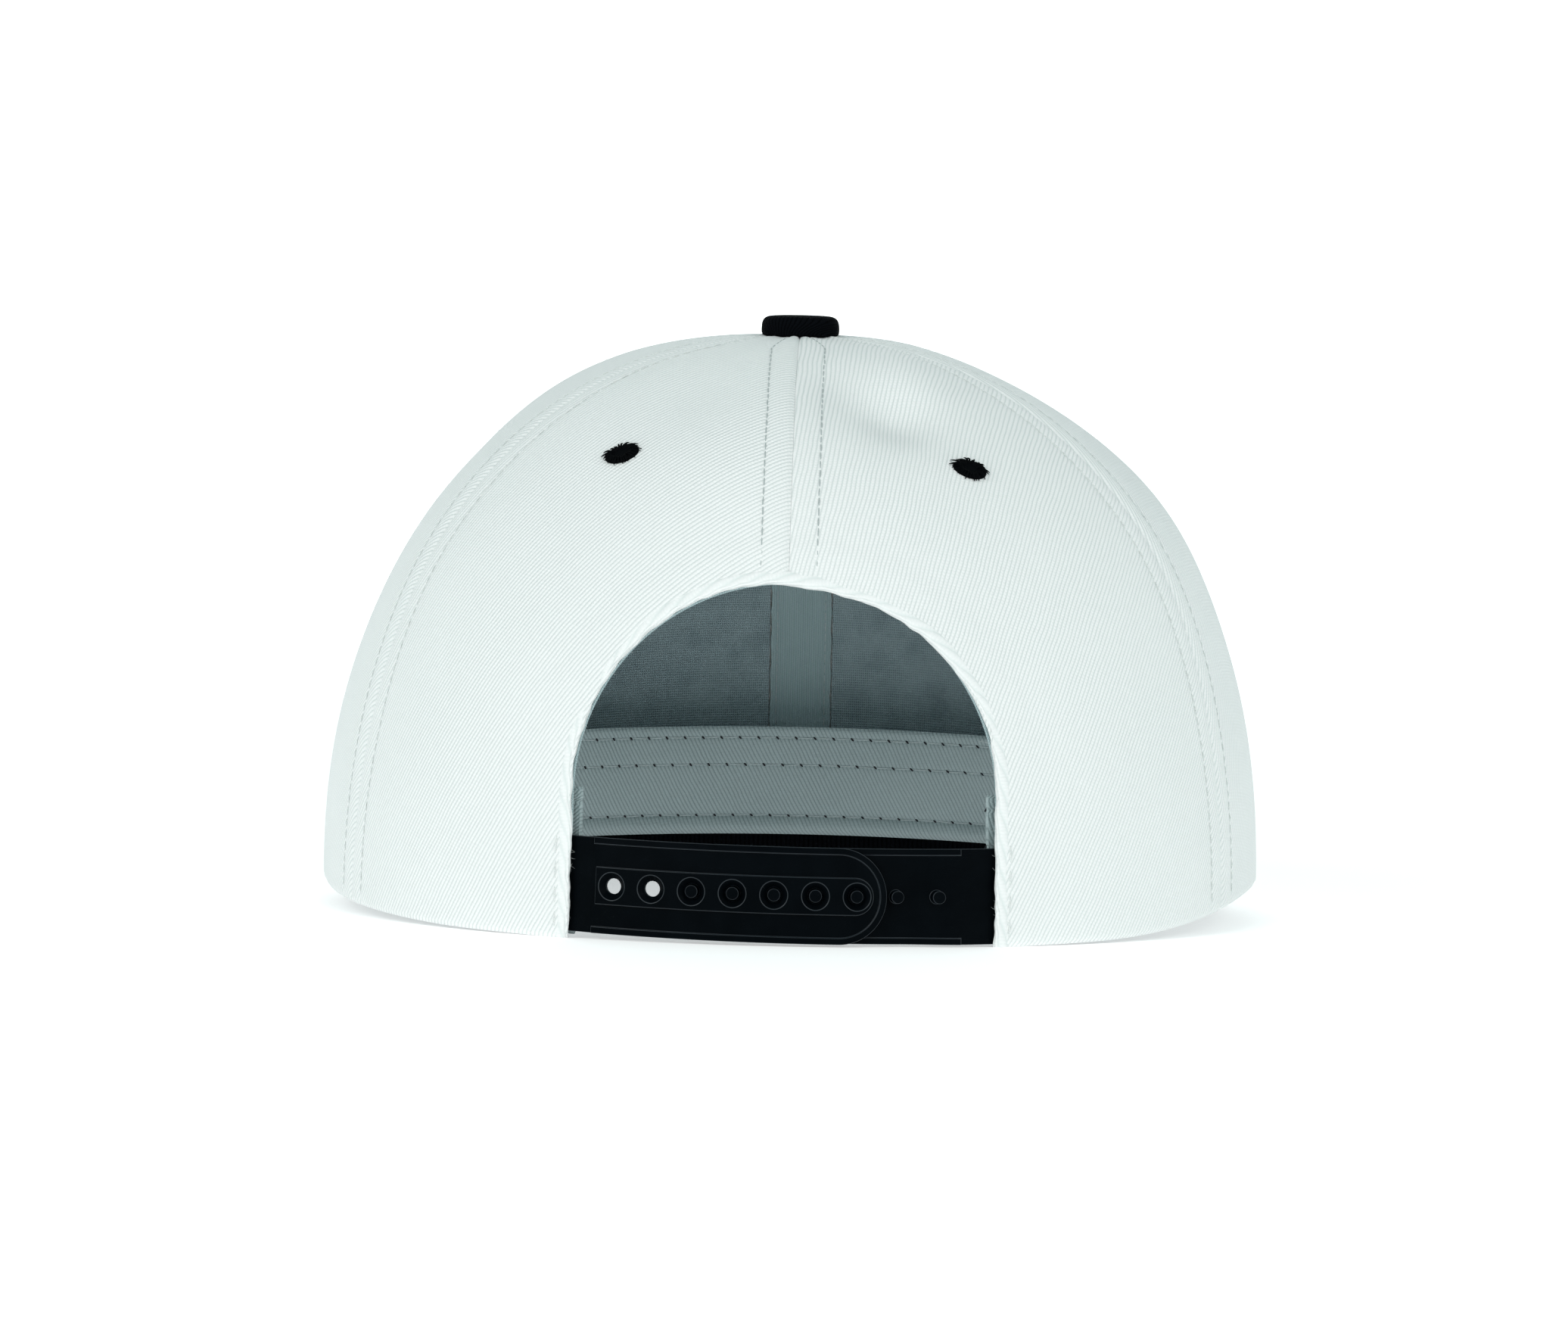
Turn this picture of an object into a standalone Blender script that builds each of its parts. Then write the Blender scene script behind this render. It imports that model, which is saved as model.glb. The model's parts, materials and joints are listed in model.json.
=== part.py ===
# Snapback cap: six sewn panels, a peak, a sweatband, seam tapes, a button, eyelets and a snap strap.
# The cap is modelled round the plane of its rim: its back is at -Y, its peak at +Y and its top at +Z.
# Angles are in degrees. They run round the cap from the back seam, and are positive towards +X.
# A rise is the angle up the crown, from 0 at the rim to 90 at the button.
# At the end an empty tilts the cap until it stands on its back rim and the edge of its peak.
import math

import bmesh
import bpy
from mathutils import Vector

# Fit
GAP = 0.0003  # between neighbouring pieces

# Crown
RIM_WIDTH = 0.196
RIM_LENGTH = 0.184
CROWN_HEIGHT = 0.1145
WALL = 0.0012
ROUNDNESS_BACK = 2.15  # power of the crown's outline, 2 is an ellipse
ROUNDNESS_SIDE = 2.27
ROUNDNESS_FRONT = 2.75
RIDGE_SHARE = 0.018  # how far the seams stand out and the panels lie flat, as a share of the reach
FRONT_ARCH = 0.0007  # rise of the rim over the middle of the peak
REAR_DROP = 0.0026  # fall of the rim at the back
REAR_DROP_FULL = 40.0  # angle up to which the rim has the whole drop
REAR_DROP_NONE = 85.0
SEAM_ANGLES = (0.0, 65.0, 122.5, 180.0)

# Waves of the rim where the sides curl
# columns: angle, spread of the angle, rise as a share of CROWN_HEIGHT
RIM_WAVES = (
    (78.0, 20.0, 0.020),
    (-74.0, 20.0, -0.007),
)

# Soft dents and bulges of the crown. The depth is a share of the crown's height, negative inwards.
# columns: angle, rise, spread of the angle, spread of the rise, depth
DENTS = (
    (10.0, 68.0, 9.0, 6.0, -0.010),
    (24.0, 60.0, 11.0, 6.0, -0.010),
    (36.0, 72.0, 16.0, 7.0, 0.009),
    (-26.0, 64.0, 15.0, 9.0, -0.007),
    (-135.0, 63.0, 36.0, 13.0, 0.014),
    (130.0, 63.0, 32.0, 11.0, -0.018),
    (95.0, 39.0, 30.0, 12.0, 0.015),
)

# Opening at the back
OPENING_RADIUS = 0.042
OPENING_CENTRE = 0.026  # height of the arc's centre above the rim
FACING_WIDTH = 0.008
FACING_THICKNESS = 0.0008

# Peak
PEAK_WIDTH = 0.177
PEAK_REACH = 0.069  # from the front rim to the tip
PEAK_THICKNESS = 0.0030
PEAK_DROP = 0.0085  # fall of the tip below the rim
PEAK_SAG = 0.0035  # further fall of the sides
PEAK_TUCK = 0.0009  # how far the peak reaches in under the crown
PEAK_HALF_ANGLE = 62.0  # from the middle of the front to a corner of the peak
PEAK_ROUNDNESS = 2.3

# Sweatband
SWEATBAND_WIDTH = 0.029
SWEATBAND_THICKNESS = 0.0010
SWEATBAND_FOOT = 0.0005  # above the rim
SWEATBAND_SAG = 0.0016  # fall of its foot at the front
SWEATBAND_LEAN_FRONT = 28.0
SWEATBAND_LEAN_BACK = 5.0

# Seam tapes
TAPE_WIDTH = 0.013
TAPE_THICKNESS = 0.0008
TAPE_POINT_SHARE = 0.40  # half width of a tape near the button, as a share of its distance from there
TAPE_FOOT_RISE = 4.0

# Stiffener behind the front panels
BUCKRAM_THICKNESS = 0.0007
BUCKRAM_FOOT_RISE = 1.5
BUCKRAM_TOP_REACH = 0.27  # share of the rim's radius where it ends

# Button
BUTTON_DIAMETER = 0.0163
BUTTON_HEIGHT = 0.0046
SHANK_DIAMETER = 0.0040
# columns: share of the button's radius, share of its height
BUTTON_PROFILE = ((0.0, 1.0), (0.62, 0.98), (0.86, 0.88), (0.97, 0.66), (1.0, 0.38), (0.97, 0.1), (0.9, 0.0))

# Eyelets
EYELET_DIAMETER = 0.0080
EYELET_TUBE = 0.0044
EYELET_BORE = 0.0022
EYELET_THICKNESS = 0.0008
EYELET_REACH = 0.67  # share of the rim's radius
# share of the way round each panel from its rear seam
EYELET_PLACES = {"back": 0.5, "side": 0.75, "front": 0.5}

# Snap strap
STRAP_HEIGHT = 0.0190
STRAP_THICKNESS = 0.0013
STRAP_FOOT = 0.0009  # above the rim, at the middle
STRAP_SLOPE = 0.010  # fall towards +X
STRAP_TAB = 0.0080  # length sewn behind a back panel
STRAP_OVERLAP_END = 0.0210  # end of the outer strap, past the middle
INNER_STRAP_END = 0.0230  # end of the inner strap, past the middle on the other side
BEND_START = 0.0240  # the inner strap steps outward from here
BEND_END = 0.0380
SNAP_COUNT = 7
SNAP_PITCH = 0.00825
FIRST_SNAP = 0.0150  # first hole of the outer strap
SPARE_SNAPS = 2  # pegs that are left free
PEG_DIAMETER = 0.0027
COUNTERSINK_DIAMETER = 0.0055
COUNTERSINK_DEPTH = 0.0006
BAND_HEIGHT = 0.0073
BAND_RELIEF = 0.0005
BAND_START = 0.0380  # square end of the raised band, before the middle
BAND_MARGIN = 0.0027  # from the band's round end to the strap's

# Fineness
PANEL_COLUMNS = 10
PANEL_ROWS = 18
TAPE_COLUMNS = 2
BUCKRAM_COLUMNS = 6
BUCKRAM_ROWS = 12
SWEATBAND_COLUMNS = 42
SWEATBAND_ROWS = 3
PEAK_COLUMNS = 26
PEAK_ROWS = 6
ARC_STEPS = 28
ROUND_SIDES = 24
SMALL_SIDES = 14
STRAP_STATION = 0.0055  # length of one flat stretch of a bent strap
SMOOTH_ANGLE = 35.0

# Colours (red, green, blue), roughness
FINISHES = {
    "white_twill": ((0.87, 0.88, 0.87), 0.9),
    "black_twill": ((0.010, 0.011, 0.013), 0.85),
    "black_thread": ((0.008, 0.009, 0.010), 0.7),
    "black_plastic": ((0.010, 0.011, 0.012), 0.45),
    "white_band": ((0.78, 0.80, 0.80), 0.9),
    "white_tape": ((0.74, 0.76, 0.76), 0.9),
    "buckram": ((0.62, 0.66, 0.66), 0.9),
}

INSIDE_DEPTH = WALL + GAP  # what lines the crown starts here, measured inward from its outer face
STRAP_BEHIND = INSIDE_DEPTH + STRAP_THICKNESS + GAP


def clear_scene():
    for thing in list(bpy.data.objects):
        bpy.data.objects.remove(thing, do_unlink=True)


def new_collection(name):
    collection = bpy.data.collections.new(name)
    bpy.context.scene.collection.children.link(collection)
    return collection


def finish(name):
    """The named finish as a material, made for one piece."""
    colour, roughness = FINISHES[name]
    material = bpy.data.materials.new(name)
    material.use_nodes = True
    shader = material.node_tree.nodes["Principled BSDF"]
    shader.inputs["Base Color"].default_value = (*colour, 1.0)
    shader.inputs["Roughness"].default_value = roughness
    material.diffuse_color = (*colour, 1.0)
    return material


def new_object(name, mesh, collection, finish_name=None):
    piece = bpy.data.objects.new(name, mesh)
    collection.objects.link(piece)
    if finish_name:
        mesh.materials.clear()
        mesh.materials.append(finish(finish_name))
        mesh.shade_smooth()
        mesh.set_sharp_from_angle(angle=math.radians(SMOOTH_ANGLE))
    return piece


def roundness(turn):
    """Power of the crown's outline at an angle in radians: back, side and front values, blended."""
    middle = (ROUNDNESS_BACK + ROUNDNESS_FRONT) / 2
    lean = (ROUNDNESS_FRONT - ROUNDNESS_BACK) / 2
    return ROUNDNESS_SIDE - lean * math.cos(turn) + (middle - ROUNDNESS_SIDE) * math.cos(turn) ** 2


def blend(value, start, end):
    """0 before start and 1 after end, smooth between."""
    share = min(1.0, max(0.0, (value - start) / (end - start)))
    return share * share * (3 - 2 * share)


def from_back(angle):
    """An angle's distance from the back seam, whichever way round."""
    return abs((angle + 180.0) % 360.0 - 180.0)


def rim_lift(angle):
    """Height of the rim over its plane."""
    front = FRONT_ARCH * max(0.0, -math.cos(math.radians(angle))) ** 2
    rear = REAR_DROP * (1 - blend(from_back(angle), REAR_DROP_FULL, REAR_DROP_NONE))
    waves = 0.0
    for wave_angle, spread, share in RIM_WAVES:
        around = ((angle - wave_angle + 180.0) % 360.0 - 180.0) / spread
        waves += share * CROWN_HEIGHT * math.exp(-around**2)
    return front - rear + waves


def seam_share(angle):
    """Place between two seams: -1 and 1 on the seams, 0 halfway."""
    turn = from_back(angle)
    for start, end in zip(SEAM_ANGLES, SEAM_ANGLES[1:]):
        if turn <= end:
            return (2 * turn - start - end) / (end - start)
    return 1.0


def ridge(angle, up):
    """1 on a seam and -1 in the middle of a panel, fading to 0 at the rim and at the button."""
    return -math.cos(math.pi * seam_share(angle)) * 2.6 * math.sin(up) ** 2 * math.cos(up)


def dent_depth(angle, rise):
    depth = 0.0
    for dent_angle, dent_rise, angle_spread, rise_spread, share in DENTS:
        around = ((angle - dent_angle + 180.0) % 360.0 - 180.0) / angle_spread
        upward = (rise - dent_rise) / rise_spread
        depth += share * CROWN_HEIGHT * math.exp(-around**2 - upward**2)
    return depth


def crown_point(angle, rise):
    """A point of the crown's outer face."""
    turn = math.radians(angle)
    up = math.radians(rise)
    power = 2 / roundness(turn)
    reach = math.cos(up) ** power * (1 + RIDGE_SHARE * ridge(angle, up))
    lift = rim_lift(angle)
    place = Vector((
        RIM_WIDTH / 2 * math.sin(turn) * reach,
        -RIM_LENGTH / 2 * math.cos(turn) * reach,
        lift + (CROWN_HEIGHT - lift) * math.sin(up) ** power,
    ))
    outward = Vector((place.x / RIM_WIDTH**2, place.y / RIM_LENGTH**2, place.z / (2 * CROWN_HEIGHT) ** 2))
    return place + outward.normalized() * dent_depth(angle, rise)


def crown_normal(angle, rise):
    step = 0.05
    around = crown_point(angle + step, rise) - crown_point(angle - step, rise)
    upward = crown_point(angle, min(rise + step, 90.0)) - crown_point(angle, max(rise - step, 0.0))
    return around.cross(upward).normalized()


def crown_inside(angle, rise, depth):
    """A point at a depth inside the crown's outer face."""
    return crown_point(angle, rise) - crown_normal(angle, rise) * depth


def rim_radius(angle):
    turn = math.radians(angle)
    return math.hypot(RIM_WIDTH / 2 * math.sin(turn), RIM_LENGTH / 2 * math.cos(turn))


def rise_at_reach(angle, reach):
    """The rise where the crown has come in to a share of the rim's radius."""
    return math.degrees(math.acos(reach ** (roundness(math.radians(angle)) / 2)))


def rise_at_height(angle, height):
    lift = rim_lift(angle)
    share = max(0.0, (height - lift) / (CROWN_HEIGHT - lift))
    return math.degrees(math.asin(share ** (roundness(math.radians(angle)) / 2)))


def top_rise(angle):
    """The rise of the small hole under the button, where the panels end."""
    return rise_at_reach(angle, (SHANK_DIAMETER / 2 + 3 * GAP) / rim_radius(angle))


def beside_seam(seam, rise, distance):
    """The angle that lies a distance beside a seam, at a rise."""
    place = crown_point(seam, rise)
    return seam + math.degrees(math.asin(distance / math.hypot(place.x, place.y)))


def sheet(name, columns, rows, point, wall, collection, finish_name=None):
    """A wall: a grid bent by point(across, up), both from 0 to 1, and thickened inward."""
    mesh = bpy.data.meshes.new(name)
    grid = bmesh.new()
    bmesh.ops.create_grid(grid, x_segments=columns, y_segments=rows, size=1.0)
    for vertex in grid.verts:
        vertex.co = point((vertex.co.x + 1) / 2, (vertex.co.y + 1) / 2)
    grid.to_mesh(mesh)
    grid.free()
    piece = new_object(name, mesh, collection, finish_name)
    solidify = piece.modifiers.new("wall", "SOLIDIFY")
    solidify.thickness = wall
    solidify.offset = -1.0
    solidify.use_even_offset = True
    return piece


def prism(name, outline, start, end, collection, finish_name=None):
    """An outline of (x, z) points, drawn out along Y from start to end."""
    mesh = bpy.data.meshes.new(name)
    solid = bmesh.new()
    face = solid.faces.new([solid.verts.new((x, start, z)) for x, z in outline])
    drawn = bmesh.ops.extrude_face_region(solid, geom=[face])["geom"]
    moved = [part for part in drawn if isinstance(part, bmesh.types.BMVert)]
    bmesh.ops.translate(solid, verts=moved, vec=(0.0, end - start, 0.0))
    bmesh.ops.recalc_face_normals(solid, faces=solid.faces)
    solid.to_mesh(mesh)
    solid.free()
    return new_object(name, mesh, collection, finish_name)


def cylinder(name, bottom_radius, top_radius, length, sides, collection):
    """A cylinder or cone along Z, centred on its origin."""
    mesh = bpy.data.meshes.new(name)
    solid = bmesh.new()
    bmesh.ops.create_cone(
        solid, cap_ends=True, segments=sides, radius1=bottom_radius, radius2=top_radius, depth=length
    )
    solid.to_mesh(mesh)
    solid.free()
    return new_object(name, mesh, collection)


def turned(name, profile, closed, sides, collection, finish_name):
    """A profile of (radius, height) points, turned round Z. Its outer side runs down."""
    mesh = bpy.data.meshes.new(name)
    edges = [(index, index + 1) for index in range(len(profile) - 1)]
    if closed:
        edges.append((len(profile) - 1, 0))
    mesh.from_pydata([(radius, 0.0, height) for radius, height in profile], edges, [])
    piece = new_object(name, mesh, collection, finish_name)
    screw = piece.modifiers.new("turn", "SCREW")
    screw.steps = sides
    screw.render_steps = sides
    screw.use_merge_vertices = True
    screw.merge_threshold = 0.00001
    return piece


def boolean(piece, tool, operation):
    modifier = piece.modifiers.new(operation.lower(), "BOOLEAN")
    modifier.object = tool
    modifier.operation = operation
    modifier.solver = "EXACT"


def hide(tool):
    tool.hide_render = True
    tool.display_type = "WIRE"


def set_along(piece, place, direction):
    piece.location = place
    piece.rotation_mode = "QUATERNION"
    piece.rotation_quaternion = direction.to_track_quat("Z", "Y")


def arch_outline(radius, foot):
    """The opening's outline at a radius: an arc on two legs that go down to foot."""
    arc = [math.pi * step / ARC_STEPS for step in range(ARC_STEPS + 1)]
    points = [(radius * math.cos(turn), OPENING_CENTRE + radius * math.sin(turn)) for turn in arc]
    return [(radius, foot)] + points + [(-radius, foot)]


def make_panel(name, start, end, parts):
    def point(across, up):
        low = beside_seam(start, up * top_rise(start), GAP / 2)
        high = beside_seam(end, up * top_rise(end), -GAP / 2)
        angle = low + (high - low) * across
        return crown_point(angle, up * top_rise(angle))

    return sheet(name, PANEL_COLUMNS, PANEL_ROWS, point, WALL, parts, "white_twill")


def make_tape(name, seam, foot_rise, parts):
    def point(across, up):
        rise = foot_rise + (top_rise(seam) - 0.4 - foot_rise) * up
        place = crown_point(seam, rise)
        distance = math.hypot(place.x, place.y)
        half = min(TAPE_WIDTH / 2, distance * TAPE_POINT_SHARE - GAP / 2)
        angle = beside_seam(seam, rise, half * (2 * across - 1))
        return crown_inside(angle, rise, INSIDE_DEPTH)

    rows = max(2, round(PANEL_ROWS * (90.0 - foot_rise) / 90.0))
    return sheet(name, TAPE_COLUMNS, rows, point, TAPE_THICKNESS, parts, "white_tape")


def make_buckram(name, start, end, parts):
    def point(across, up):
        foot = BUCKRAM_FOOT_RISE
        rise = foot + (rise_at_reach((start + end) / 2, BUCKRAM_TOP_REACH) - foot) * up
        low = beside_seam(start, rise, TAPE_WIDTH / 2 + GAP)
        high = beside_seam(end, rise, -TAPE_WIDTH / 2 - GAP)
        return crown_inside(low + (high - low) * across, rise, INSIDE_DEPTH)

    return sheet(name, BUCKRAM_COLUMNS, BUCKRAM_ROWS, point, BUCKRAM_THICKNESS, parts, "buckram")


def rim_angle(length):
    """The angle at a length along the rim from the back seam."""
    steps = 24
    angle = 0.0
    for _ in range(steps):
        turn = math.radians(angle)
        speed = math.hypot(RIM_WIDTH / 2 * math.cos(turn), RIM_LENGTH / 2 * math.sin(turn))
        angle += math.degrees(length / steps / speed)
    return angle


def make_sweatband(parts):
    end_angle = math.degrees(math.asin(2 * (OPENING_RADIUS + GAP) / RIM_WIDTH))
    tab_angle = rim_angle(opening_end() + STRAP_TAB)

    def point(across, up):
        angle = end_angle + (360.0 - 2 * end_angle) * across
        lean_share = blend(from_back(angle), end_angle, 150.0)
        lean = math.radians(SWEATBAND_LEAN_BACK + (SWEATBAND_LEAN_FRONT - SWEATBAND_LEAN_BACK) * lean_share)
        clear_of_tab = blend(from_back(angle), tab_angle + 3.0, tab_angle + 18.0)
        depth = STRAP_BEHIND + (INSIDE_DEPTH - STRAP_BEHIND) * clear_of_tab
        slant = SWEATBAND_WIDTH * up
        rim = crown_point(angle, 0.0)
        outward = crown_normal(angle, 0.0)
        place = rim - outward * (depth + slant * math.sin(lean))
        place.z = rim_lift(angle) + SWEATBAND_FOOT - SWEATBAND_SAG * lean_share + slant * math.cos(lean)
        return place

    return sheet(
        "sweatband", SWEATBAND_COLUMNS, SWEATBAND_ROWS, point, SWEATBAND_THICKNESS, parts, "white_band"
    )


def make_peak(parts):
    corner = crown_point(180.0 - PEAK_HALF_ANGLE, 0.0)
    tip = RIM_LENGTH / 2 + PEAK_REACH

    def point(across, out):
        share = 2 * across - 1
        angle = 180.0 - share * PEAK_HALF_ANGLE
        inner = crown_point(angle, 0.0) - crown_normal(angle, 0.0) * PEAK_TUCK
        turn = share * math.pi / 2
        power = 2 / PEAK_ROUNDNESS
        outer = Vector((
            math.copysign(PEAK_WIDTH / 2 * abs(math.sin(turn)) ** power, share),
            corner.y + (tip - corner.y) * abs(math.cos(turn)) ** power,
            inner.z,
        ))
        place = inner.lerp(outer, out)
        past_rim = max(0.0, (place - inner).length - PEAK_TUCK) / PEAK_REACH
        place.z -= GAP + (PEAK_DROP + PEAK_SAG * math.sin(turn) ** 2) * past_rim
        return place

    return sheet("peak", PEAK_COLUMNS, PEAK_ROWS, point, PEAK_THICKNESS, parts, "black_twill")


def opening_end():
    """Length along the rim from the back seam to the opening's leg."""
    return RIM_WIDTH / 2 * math.asin(2 * OPENING_RADIUS / RIM_WIDTH)


def make_button(parts):
    radius = BUTTON_DIAMETER / 2
    foot = CROWN_HEIGHT + GAP
    shank_foot = CROWN_HEIGHT - INSIDE_DEPTH - TAPE_THICKNESS
    profile = [(radius * reach, foot + BUTTON_HEIGHT * height) for reach, height in BUTTON_PROFILE]
    profile += [(SHANK_DIAMETER / 2, foot), (SHANK_DIAMETER / 2, shank_foot), (0.0, shank_foot)]
    return turned("button", profile, False, ROUND_SIDES, parts, "black_twill")


def make_eyelet(name, angle, pierced, parts, cutters):
    """An eyelet on a panel, and its hole through the pieces it pierces."""
    rise = rise_at_reach(angle, EYELET_REACH)
    place = crown_point(angle, rise)
    outward = crown_normal(angle, rise)
    flange = EYELET_DIAMETER / 2
    tube = EYELET_TUBE / 2
    bore = EYELET_BORE / 2
    top = GAP + EYELET_THICKNESS
    profile = (
        (bore, top), ((tube + flange) / 2, top), (flange, GAP + EYELET_THICKNESS / 2), (flange, GAP),
        (tube, GAP), (tube, -WALL), (bore, -WALL),
    )
    eyelet = turned(name, profile, True, SMALL_SIDES, parts, "black_thread")
    set_along(eyelet, place, outward)
    hole = cylinder(
        "hole_" + name, tube + GAP, tube + GAP, 8 * WALL, SMALL_SIDES, cutters
    )
    set_along(hole, place, outward)
    hide(hole)
    for piece in pierced:
        boolean(piece, hole, "DIFFERENCE")


def strap_lift(along):
    """Height of the strap's lower edge over the rim's plane, at a length from the back seam."""
    return rim_lift(rim_angle(along)) + STRAP_FOOT - STRAP_SLOPE * along


def strap_outline(start, end, bottom, top):
    """A strip from start to end. The end has a round tip, on whichever side of start it lies."""
    radius = (top - bottom) / 2
    middle = (top + bottom) / 2
    side = math.copysign(1.0, end - start)
    steps = ARC_STEPS // 2
    arc = [math.pi * (step / steps - 0.5) for step in range(steps + 1)]
    centre = end - side * radius
    tip = [(centre + side * radius * math.cos(turn), middle + radius * math.sin(turn)) for turn in arc]
    return [(start, bottom)] + tip + [(start, top)]


def upright(name, radius, top_radius, start, end, along, height, tools):
    """A round tool across the flat strap, from one depth to another, at a place on it."""
    tool = cylinder(name, radius, top_radius, abs(end - start), SMALL_SIDES, tools)
    tool.location = (along, (start + end) / 2, height)
    tool.rotation_euler = (math.copysign(math.pi / 2, start - end), 0.0, 0.0)
    return tool


def bend_strap(name, flat, tools, depth_at, parts):
    """The flat strap with its tools applied, cut into short stretches and bent round the rim."""
    bpy.context.view_layer.update()
    graph = bpy.context.evaluated_depsgraph_get()
    mesh = bpy.data.meshes.new_from_object(flat.evaluated_get(graph))
    for tool in [flat] + tools:
        bpy.data.objects.remove(tool, do_unlink=True)
    strap = bmesh.new()
    strap.from_mesh(mesh)
    bmesh.ops.remove_doubles(strap, verts=strap.verts, dist=0.000001)
    reach = max(abs(vertex.co.x) for vertex in strap.verts)
    stations = int(reach / STRAP_STATION)
    for station in range(-stations, stations + 1):
        bmesh.ops.bisect_plane(
            strap,
            geom=strap.verts[:] + strap.edges[:] + strap.faces[:],
            plane_co=(station * STRAP_STATION, 0.0, 0.0),
            plane_no=(1.0, 0.0, 0.0),
        )
    bmesh.ops.triangulate(strap, faces=strap.faces)
    for vertex in strap.verts:
        along, depth, height = vertex.co
        angle = rim_angle(along)
        rise = rise_at_height(angle, strap_lift(along) + height)
        vertex.co = crown_inside(angle, rise, depth_at(along) + depth)
    strap.to_mesh(mesh)
    strap.free()
    return new_object(name, mesh, parts, "black_plastic")


def make_left_strap(parts, tools):
    """The outer strap, with a raised band and countersunk holes."""
    middle = STRAP_HEIGHT / 2
    start = -opening_end() - STRAP_TAB
    flat = prism("flat", strap_outline(start, STRAP_OVERLAP_END, 0.0, STRAP_HEIGHT), 0.0, STRAP_THICKNESS, tools)
    band_end = STRAP_OVERLAP_END - BAND_MARGIN
    band_outline = strap_outline(-BAND_START, band_end, middle - BAND_HEIGHT / 2, middle + BAND_HEIGHT / 2)
    band = prism("band", band_outline, -BAND_RELIEF, STRAP_THICKNESS / 2, tools)
    boolean(flat, band, "UNION")
    used = [band]
    hole_radius = PEG_DIAMETER / 2 + GAP
    sink_radius = COUNTERSINK_DIAMETER / 2
    slope = (sink_radius - hole_radius) / COUNTERSINK_DEPTH
    for index in range(SNAP_COUNT):
        along = FIRST_SNAP - index * SNAP_PITCH
        outer = -BAND_RELIEF - GAP
        hole = upright("hole", hole_radius, hole_radius, outer, STRAP_THICKNESS + GAP, along, middle, tools)
        sink_end = -BAND_RELIEF + COUNTERSINK_DEPTH
        sink = upright("sink", sink_radius + slope * GAP, hole_radius, outer, sink_end, along, middle, tools)
        boolean(flat, hole, "DIFFERENCE")
        boolean(flat, sink, "DIFFERENCE")
        used += [hole, sink]
    return bend_strap("strap_left", flat, used, lambda along: INSIDE_DEPTH, parts)


def make_right_strap(parts, tools):
    """The inner strap, whose pegs stand in the outer strap's holes."""
    middle = STRAP_HEIGHT / 2
    start = opening_end() + STRAP_TAB
    flat = prism("flat", strap_outline(start, -INNER_STRAP_END, 0.0, STRAP_HEIGHT), 0.0, STRAP_THICKNESS, tools)
    used = []
    tip = -(GAP + STRAP_THICKNESS + BAND_RELIEF)
    for index in range(SNAP_COUNT):
        along = FIRST_SNAP + (SPARE_SNAPS - index) * SNAP_PITCH
        root = STRAP_THICKNESS / 2
        peg = upright("peg", PEG_DIAMETER / 2, PEG_DIAMETER / 2, tip, root, along, middle, tools)
        boolean(flat, peg, "UNION")
        used.append(peg)

    def depth_at(along):
        return STRAP_BEHIND + (INSIDE_DEPTH - STRAP_BEHIND) * blend(along, BEND_START, BEND_END)

    return bend_strap("strap_right", flat, used, depth_at, parts)


def make_facing(parts, cutters):
    """The strip behind the opening's edge: a sheet inside the back panels, cut to the arch."""
    spread = math.degrees(math.asin(2 * (OPENING_RADIUS + FACING_WIDTH) / RIM_WIDTH)) + 4.0

    def point(across, up):
        angle = spread * (2 * across - 1)
        return crown_inside(angle, top_rise(0.0) * 0.75 * up, INSIDE_DEPTH)

    facing = sheet("opening_facing", PANEL_COLUMNS, PANEL_ROWS - 4, point, FACING_THICKNESS, parts, "white_tape")
    foot = strap_lift(-opening_end() - STRAP_TAB) + STRAP_HEIGHT + GAP
    inner = arch_outline(OPENING_RADIUS + GAP, foot)
    outer = arch_outline(OPENING_RADIUS + FACING_WIDTH, foot)
    frame = prism("facing_frame", outer + inner[::-1], -RIM_LENGTH, -RIM_LENGTH / 8, cutters)
    hide(frame)
    boolean(facing, frame, "INTERSECT")


def make_crown(parts, cutters):
    opening = prism(
        "opening_cutter", arch_outline(OPENING_RADIUS, -RIM_LENGTH), -RIM_LENGTH, -RIM_LENGTH / 8, cutters
    )
    hide(opening)
    spans = {"back": SEAM_ANGLES[0:2], "side": SEAM_ANGLES[1:3], "front": SEAM_ANGLES[2:4]}
    for side, sign in (("left", -1.0), ("right", 1.0)):
        for place, span in spans.items():
            start, end = sorted(sign * angle for angle in span)
            panel = make_panel(f"panel_{place}_{side}", start, end, parts)
            pierced = [panel]
            if place == "back":
                boolean(panel, opening, "DIFFERENCE")
            if place == "front":
                pierced.append(make_buckram(f"buckram_{side}", start, end, parts))
            eyelet_angle = sign * (span[0] + (span[1] - span[0]) * EYELET_PLACES[place])
            make_eyelet(f"eyelet_{place}_{side}", eyelet_angle, pierced, parts, cutters)
            if place != "back":
                seam = start if sign > 0 else end
                tape_name = "back" if place == "side" else "front"
                make_tape(f"tape_{tape_name}_{side}", seam, TAPE_FOOT_RISE, parts)
    make_tape("tape_front", 180.0, TAPE_FOOT_RISE, parts)
    facing_top = OPENING_CENTRE + OPENING_RADIUS + FACING_WIDTH + GAP
    tape_foot = facing_top + INSIDE_DEPTH + TAPE_THICKNESS
    make_tape("tape_back", 0.0, rise_at_height(0.0, tape_foot), parts)


def world_points(pieces):
    bpy.context.view_layer.update()
    graph = bpy.context.evaluated_depsgraph_get()
    points = []
    for piece in pieces:
        mesh = piece.evaluated_get(graph).to_mesh()
        points += [piece.matrix_world @ vertex.co for vertex in mesh.vertices]
        piece.evaluated_get(graph).to_mesh_clear()
    return points


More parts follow.
